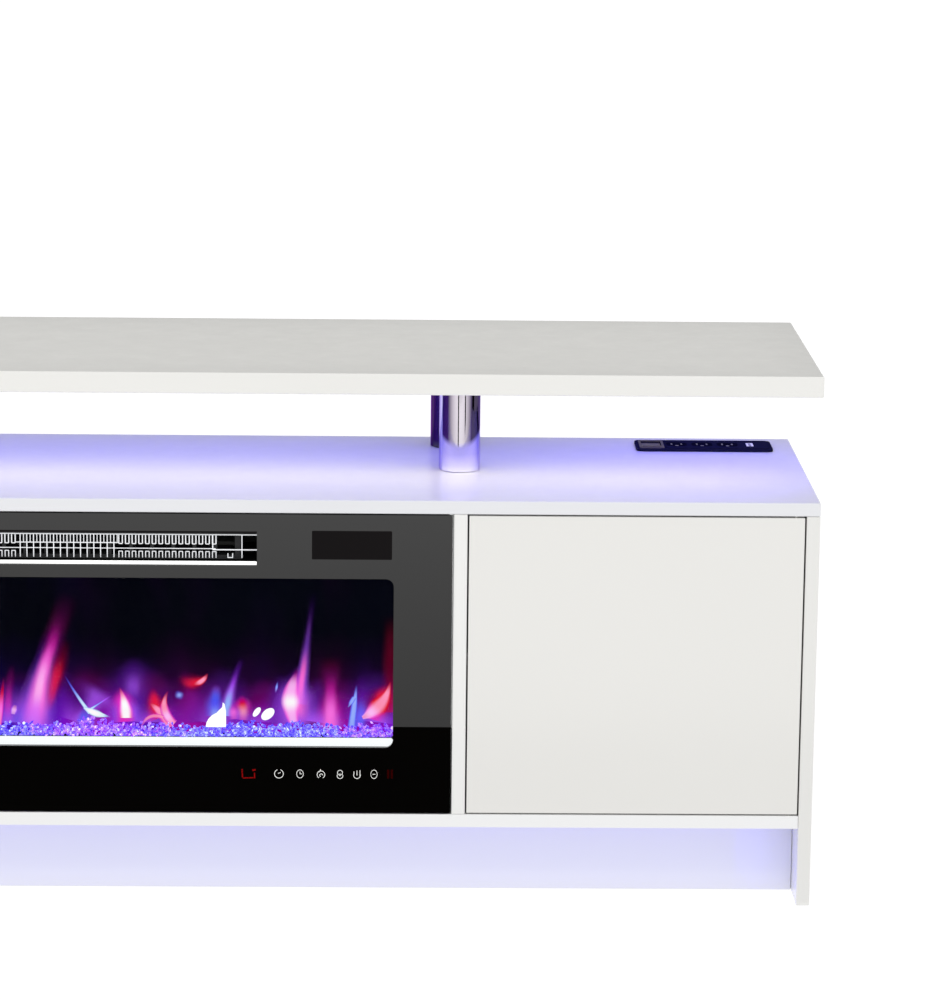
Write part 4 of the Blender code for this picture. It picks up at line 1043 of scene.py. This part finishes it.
# Each flame has its layer, its root and tip, and how far it bows to its right, in millimetres from the
# window's middle and the bed's floor. Its widths, cores, rims and opacities then run from root to tip.
FLAMES = [
    (0, (68, 16), (71, 92), 6, (55, 55, 48, 31), (INDIGO,), (INDIGO,), (0.38, 0.34, 0.25, 0)),
    (0, (8, 16), (30, 85), 0, (41, 43, 38, 24), (VIOLET, INDIGO, WINE, WINE), (INDIGO, WINE),
     (0.42, 0.30, 0.2, 0)),
    (0, (151, 16), (135, 63), 3, (36, 31, 22, 12), (INDIGO, WINE), (INDIGO, WINE), (0.5, 0.45, 0.3, 0)),
    (0, (177, 14), (188, 86), 0, (53, 48, 34, 19), (VIOLET, INDIGO, INDIGO, INDIGO), (INDIGO,),
     (0.6, 0.42, 0.25, 0)),
    (0, (361, 18), (368, 84), 0, (53, 48, 36, 22), (VIOLET, INDIGO, INDIGO, INDIGO), (INDIGO,),
     (0.7, 0.48, 0.26, 0)),
    (0, (-59, 15), (-62, 79), 1, (53, 48, 36, 22), (BLUE, VIOLET, INDIGO, WINE), (INDIGO, INDIGO, WINE),
     (0.7, 0.43, 0.2, 0)),
    (0, (96, 16), (104, 83), -2, (58, 53, 43, 24), (VIOLET, INDIGO, WINE, WINE), (INDIGO, WINE),
     (0.5, 0.4, 0.25, 0)),
    (0, (230, 17), (235, 74), -1, (48, 43, 29, 14), (VIOLET, WINE, WINE, WINE), (INDIGO, WINE),
     (0.5, 0.4, 0.25, 0)),
    (1, (-43, 9), (3, 173), -6, (29, 24, 18, 16, 16), (VIOLET, PINK, PINK, MAGENTA, WINE, WINE),
     (VIOLET, VIOLET, INDIGO, WINE, WINE), (0.85, 0.97, 0.96, 0.6, 0.2, 0)),
    (1, (-73, 15), (-67, 87), -2, (14, 11, 8, 5), (VIOLET, MAGENTA, WINE, WINE),
     (VIOLET, INDIGO, WINE, WINE), (0.6, 0.5, 0.45, 0)),
    (1, (25, 30), (43, 58), 0, (14, 29, 38, 34), (VIOLET, VIOLET, VIOLET, INDIGO), (INDIGO,),
     (0.6, 0.6, 0.5, 0)),
    (1, (71, 24), (76, 98), 4, (26, 22, 22, 22, 14), (VIOLET, INDIGO, VIOLET, INDIGO, INDIGO), (INDIGO,),
     (0.4, 0.45, 0.45, 0.35, 0)),
    (1, (251, 15), (256, 77), -2, (31, 24, 19, 13), (INDIGO,), (INDIGO,), (0.9, 0.7, 0.5, 0)),
    (1, (292, 18), (299, 74), 0, (31, 24, 17, 10), (VIOLET, INDIGO, INDIGO, INDIGO), (INDIGO,),
     (0.8, 0.6, 0.35, 0)),
    (1, (382, 30), (383, 148), 0, (14, 12, 10), (RED, EMBER, EMBER, EMBER), (EMBER,),
     (0.5, 0.6, 0.45, 0.25, 0)),
    (2, (-26, 28), (-4, 119), 0, (10, 15, 11), (RED, RED, RED, EMBER, EMBER), (EMBER,),
     (0, 0.6, 0.75, 0.5, 0)),
    (2, (-44, 13), (-21, 114), -2, (20, 17, 14, 12, 8, 6), (ORCHID, ORCHID, BLUSH, BLUSH, PINK, PINK),
     (PINK, PINK, PINK, MAGENTA), (0.45, 0.7, 0.7, 0.6, 0.5, 0)),
    (2, (18, 9), (18, 36), 1, (19, 17, 7), (BLUE,), (VIOLET,), (0.7, 0.8, 0)),
    (2, (67, 17), (60, 61), 1, (24, 23, 16, 6), (MAGENTA, MAGENTA, MAGENTA, WINE),
     (VIOLET, VIOLET, MAGENTA, WINE), (0.9, 1, 0.9, 0)),
    (2, (108, 22), (100, 61), -2, (22, 22, 14, 6), (RED, RED, RED, EMBER),
     (MAGENTA, EMBER, EMBER, EMBER), (0.6, 0.9, 0.8, 0)),
    (2, (130, 74), (165, 74), 8, (10, 14, 13, 6), (EMBER, RED, RED, RED), (EMBER,), (0, 0.6, 0.8, 0)),
    (2, (126, 47), (137, 53), 0, (5, 7, 4), (BLUE, SKY, BLUE), (INDIGO, BLUE, INDIGO), (0, 0.9, 0)),
    (2, (174, 25), (176, 64), -1, (14, 14, 13, 10), (SKY, BLUE, BLUE, VIOLET),
     (BLUE, BLUE, INDIGO, INDIGO), (0.9, 0.9, 0.7, 0)),
    (2, (187, 25), (207, 96), -3, (12, 10, 7, 6, 5), (SKY, SKY, VIOLET, INDIGO, INDIGO),
     (VIOLET, VIOLET, INDIGO, INDIGO), (1, 1, 0.8, 0.5, 0)),
    (2, (207, 20), (205, 51), 1, (13, 14, 14, 7), (PINK, ROSE, RED, MAGENTA),
     (VIOLET, MAGENTA, MAGENTA, WINE), (0.4, 0.8, 0.8, 0)),
    (2, (197, 21), (195, 40), 0, (10, 11, 6), (PINK, PINK, MAGENTA), (VIOLET, VIOLET, WINE), (0.4, 0.7, 0)),
    (2, (272, 15), (275, 89), -2, (34, 31, 26, 17, 7), (VIOLET, PINK, PINK, MAGENTA, INDIGO),
     (VIOLET, VIOLET, VIOLET, INDIGO, INDIGO), (0.7, 0.9, 0.9, 0.6, 0)),
    (2, (275, 40), (292, 178), -1, (12, 9, 7, 6, 6),
     (ORCHID, PINK, PINK, VIOLET, VIOLET, INDIGO, INDIGO), (VIOLET, VIOLET, INDIGO, INDIGO),
     (0.6, 0.93, 0.7, 0.33, 0.17, 0.08, 0)),
    (2, (311, 12), (312, 99), 0, (23, 18, 16, 17, 17), (PINK, PINK, MAGENTA, WINE, EMBER),
     (VIOLET, MAGENTA, WINE, WINE, EMBER), (0.9, 0.9, 0.55, 0.35, 0)),
    (2, (346, 13), (352, 66), 0, (17, 17, 16, 10), (BLUE, BLUE, INDIGO, INDIGO), (INDIGO,),
     (0.8, 0.8, 0.6, 0)),
    (2, (364, 21), (380, 65), -1, (22, 24, 20, 10), (MAGENTA, RED, RED, RED),
     (VIOLET, EMBER, EMBER, EMBER), (0.8, 1, 1, 0)),
    (3, (-84, 13), (-77, 73), 0, (7, 7, 5, 2), (ROSE, PINK, RED, WINE), (MAGENTA, MAGENTA, WINE, WINE),
     (0.9, 1, 0.7, 0)),
    (3, (-67, 26), (-64, 37), 0, (6, 8, 5), (BLUSH, BLUSH, ROSE), (VIOLET,), (0.5, 0.8, 0.2)),
    (3, (68, 22), (60, 60), 2, (13, 15, 11, 6, 2), (WHITE, WHITE, WHITE, ROSE, RED),
     (ROSE, PINK, PINK, MAGENTA, WINE), (1, 1, 1, 0.8, 0)),
    (3, (120, 11), (95, 41), 3, (11, 11, 11, 8, 2), (ROSE, ROSE, ROSE, ROSE, RED),
     (MAGENTA, MAGENTA, MAGENTA, RED, RED), (0.95, 1, 1, 0.9, 0)),
    (3, (125, 15), (118, 55), -8, (10, 11, 10, 6, 2), (ROSE, BLUSH, ROSE, ROSE, RED),
     (MAGENTA, MAGENTA, MAGENTA, RED, RED), (1, 1, 1, 0.9, 0.1)),
    (3, (86, 11), (112, 23), -7, (2, 4, 5, 5), (PINK, ROSE, ROSE, ROSE),
     (VIOLET, MAGENTA, MAGENTA, MAGENTA), (0.3, 0.7, 0.8, 0.8)),
    (3, (148, 64), (165, 77), 3, (3, 7, 6, 2), (RED, ROSE, ROSE, RED), (RED,), (0.2, 1, 1, 0.2)),
    (3, (246, 53), (249, 69), 0, (2, 3, 1), (VIOLET, SKY, BLUE), (INDIGO, BLUE, INDIGO), (0, 0.9, 0)),
    (3, (268, 18), (271, 79), -5, (11, 16, 20, 17, 11, 4), (BLUSH, BLUSH, WHITE, BLUSH, BLUSH, PINK),
     (PINK, PINK, BLUSH, PINK, PINK, VIOLET), (0.8, 0.95, 1, 0.95, 0.7, 0)),
    (3, (337, 11), (343, 65), 0, (9, 8, 7, 4, 2), (SKY, SKY, SKY, SKY, BLUE), (BLUE,), (0.9, 1, 1, 0.9, 0)),
    (3, (340, 49), (333, 37), 0, (5, 5, 1), (SKY,), (BLUE,), (0.9, 1, 0.4)),
    (3, (350, 24), (383, 68), 7, (4, 14, 20, 14, 7, 2), (ROSE, BLUSH, ROSE, ROSE, ROSE, RED),
     (BLUSH, PINK, RED, RED, RED, RED), (0.8, 1, 1, 1, 0.95, 0.2)),
    (4, (25, 28), (-5, 75), -1, (5, 4, 3, 2, 1), (ICE, ICE, SKY, BLUE, BLUE), (SKY, SKY, BLUE, BLUE),
     (1, 1, 0.9, 0.55, 0)),
    (4, (26, 33), (51, 50), 0, (3, 2, 2, 1), (ICE, SKY, VIOLET, VIOLET), (SKY, BLUE, VIOLET, VIOLET),
     (1, 0.9, 0.8, 0)),
    (5, (18, 35), (50, 24), 2, (3, 7, 8, 4, 1), (ICE, WHITE, WHITE, ICE, SKY),
     (SKY, ICE, ICE, ICE, BLUE), (0.9, 1, 1, 1, 0)),
]


def flame_material(name, side_stops, heat_stops, sway):
    """Glow that falls off across the sheet, its colours and its fading carried by the mesh."""
    mat, tree, shader = new_material(name, Base_Color=(0.0, 0.0, 0.0), Specular_IOR_Level=0.0, Roughness=1.0,
                                     Emission_Strength=1.0)
    uv = split(tree, add(tree, "ShaderNodeTexCoord").outputs["UV"])
    lick = spread(tree, noise(tree, here(tree), 55.0, 3.0, 0.5, (1.0, 1.0, 0.25)), -sway, sway, 0.3, 0.7)
    across = calc(tree, "ABSOLUTE", calc(tree, "ADD", calc(tree, "SUBTRACT", uv["X"], 0.5), lick), 0.0)
    core, rim = (add(tree, "ShaderNodeAttribute", attribute_name=part).outputs["Color"]
                 for part in ("core", "rim"))
    heat = mix_colour(tree, ramp(tree, across, heat_stops, "EASE"), rim, core)
    wire(tree, heat, shader.inputs["Emission Color"])
    wire(tree, calc(tree, "MULTIPLY", ramp(tree, across, side_stops), uv["Y"]), shader.inputs["Alpha"])
    return mat


FLAME_BACK, LAYER_STEP, SHEET_GAP, SHEET_ROWS, SHEET_COLUMNS = -0.1737, 0.0012, 0.00005, 24, 8
FIRST_CRISP, SOFT_SPREAD, CRISP_SPREAD, THINNEST = 3, 2.1, 1.25, 0.4


def eased(run, share):
    """The value at a share of the way along an even run of numbers or colours, on a smooth curve."""
    last = len(run) - 1
    index = max(0, min(int(share * last), last - 1))
    part = share * last - index
    a, b, c, d = (run[max(0, min(last, index + shift))] for shift in (-1, 0, 1, 2))
    return b + part * 0.5 * (c - a + part * (2 * a - 5 * b + 4 * c - d + part * (3 * (b - c) + d - a)))


def flame_sheet(bm, flame, depth, side=1.0, tall=1.0):
    """One flame as a grid bent along its path. The UV's Y holds the opacity at each height."""
    layer, root, tip, bow, widths, cores, rims, opacities = flame
    rise = Vector(tip) - Vector(root)
    right = Vector((rise.y, -rise.x)).normalized()
    room = CRISP_SPREAD if layer >= FIRST_CRISP else SOFT_SPREAD
    made = bmesh.ops.create_grid(bm, x_segments=SHEET_COLUMNS, y_segments=SHEET_ROWS, size=0.5)
    uv_layer = bm.loops.layers.uv["flame"]
    colours = bm.loops.layers.float_color
    colour_layers = ((colours["core"], cores), (colours["rim"], rims))
    sheet = {face for vert in made["verts"] for face in vert.link_faces}
    for face in sheet:
        for loop in face.loops:
            across, share = loop.vert.co.x + 0.5, min(1.0, max(0.0, loop.vert.co.y + 0.5))
            loop[uv_layer].uv = (across, max(0.0, min(1.0, eased(opacities, share))))
            for colour_layer, run in colour_layers:
                loop[colour_layer] = (*(max(0.0, value) for value in eased(run, share)), 1.0)
    for vert in made["verts"]:
        across, share = vert.co.x, min(1.0, max(0.0, vert.co.y + 0.5))
        way = (rise + right * bow * 4 * (1 - 2 * share)).normalized()
        spot = Vector(root) + rise * share + right * bow * 4 * share * (1 - share)
        spot += Vector((way.y, -way.x)) * across * max(eased(widths, share), THINNEST) * room
        vert.co = (side * spot.x / 1000, depth, BED_FLOOR + tall * spot.y / 1000)
    if side < 0:
        bmesh.ops.reverse_faces(bm, faces=list(sheet))


soft_flame = flame_material("soft_flame", [(0.0, 1.0), (0.10, 0.90), (0.23, 0.50), (0.34, 0.18), (0.46, 0.0)],
                            [(0.05, 1.0), (0.32, 0.0)], 0.04)
crisp_flame = flame_material("crisp_flame", [(0.0, 1.0), (0.30, 0.97), (0.39, 0.5), (0.47, 0.0)],
                             [(0.12, 1.0), (0.40, 0.0)], 0.02)
HIDDEN_FROM, MIRROR_TALL = 88, 0.86
for layer in range(6):
    bm = bmesh.new()
    bm.loops.layers.uv.new("flame")
    for name in ("core", "rim"):
        bm.loops.layers.float_color.new(name)
    depth = FLAME_BACK - layer * LAYER_STEP
    for flame in [flame for flame in FLAMES if flame[0] == layer]:
        depth -= SHEET_GAP
        flame_sheet(bm, flame, depth)
        if flame[1][0] > HIDDEN_FROM:
            flame_sheet(bm, flame, depth - SHEET_GAP / 2, -1.0, MIRROR_TALL)
    put(bm, f"flames_layer_{layer}", crisp_flame if layer >= FIRST_CRISP else soft_flame,
        smooth=False)
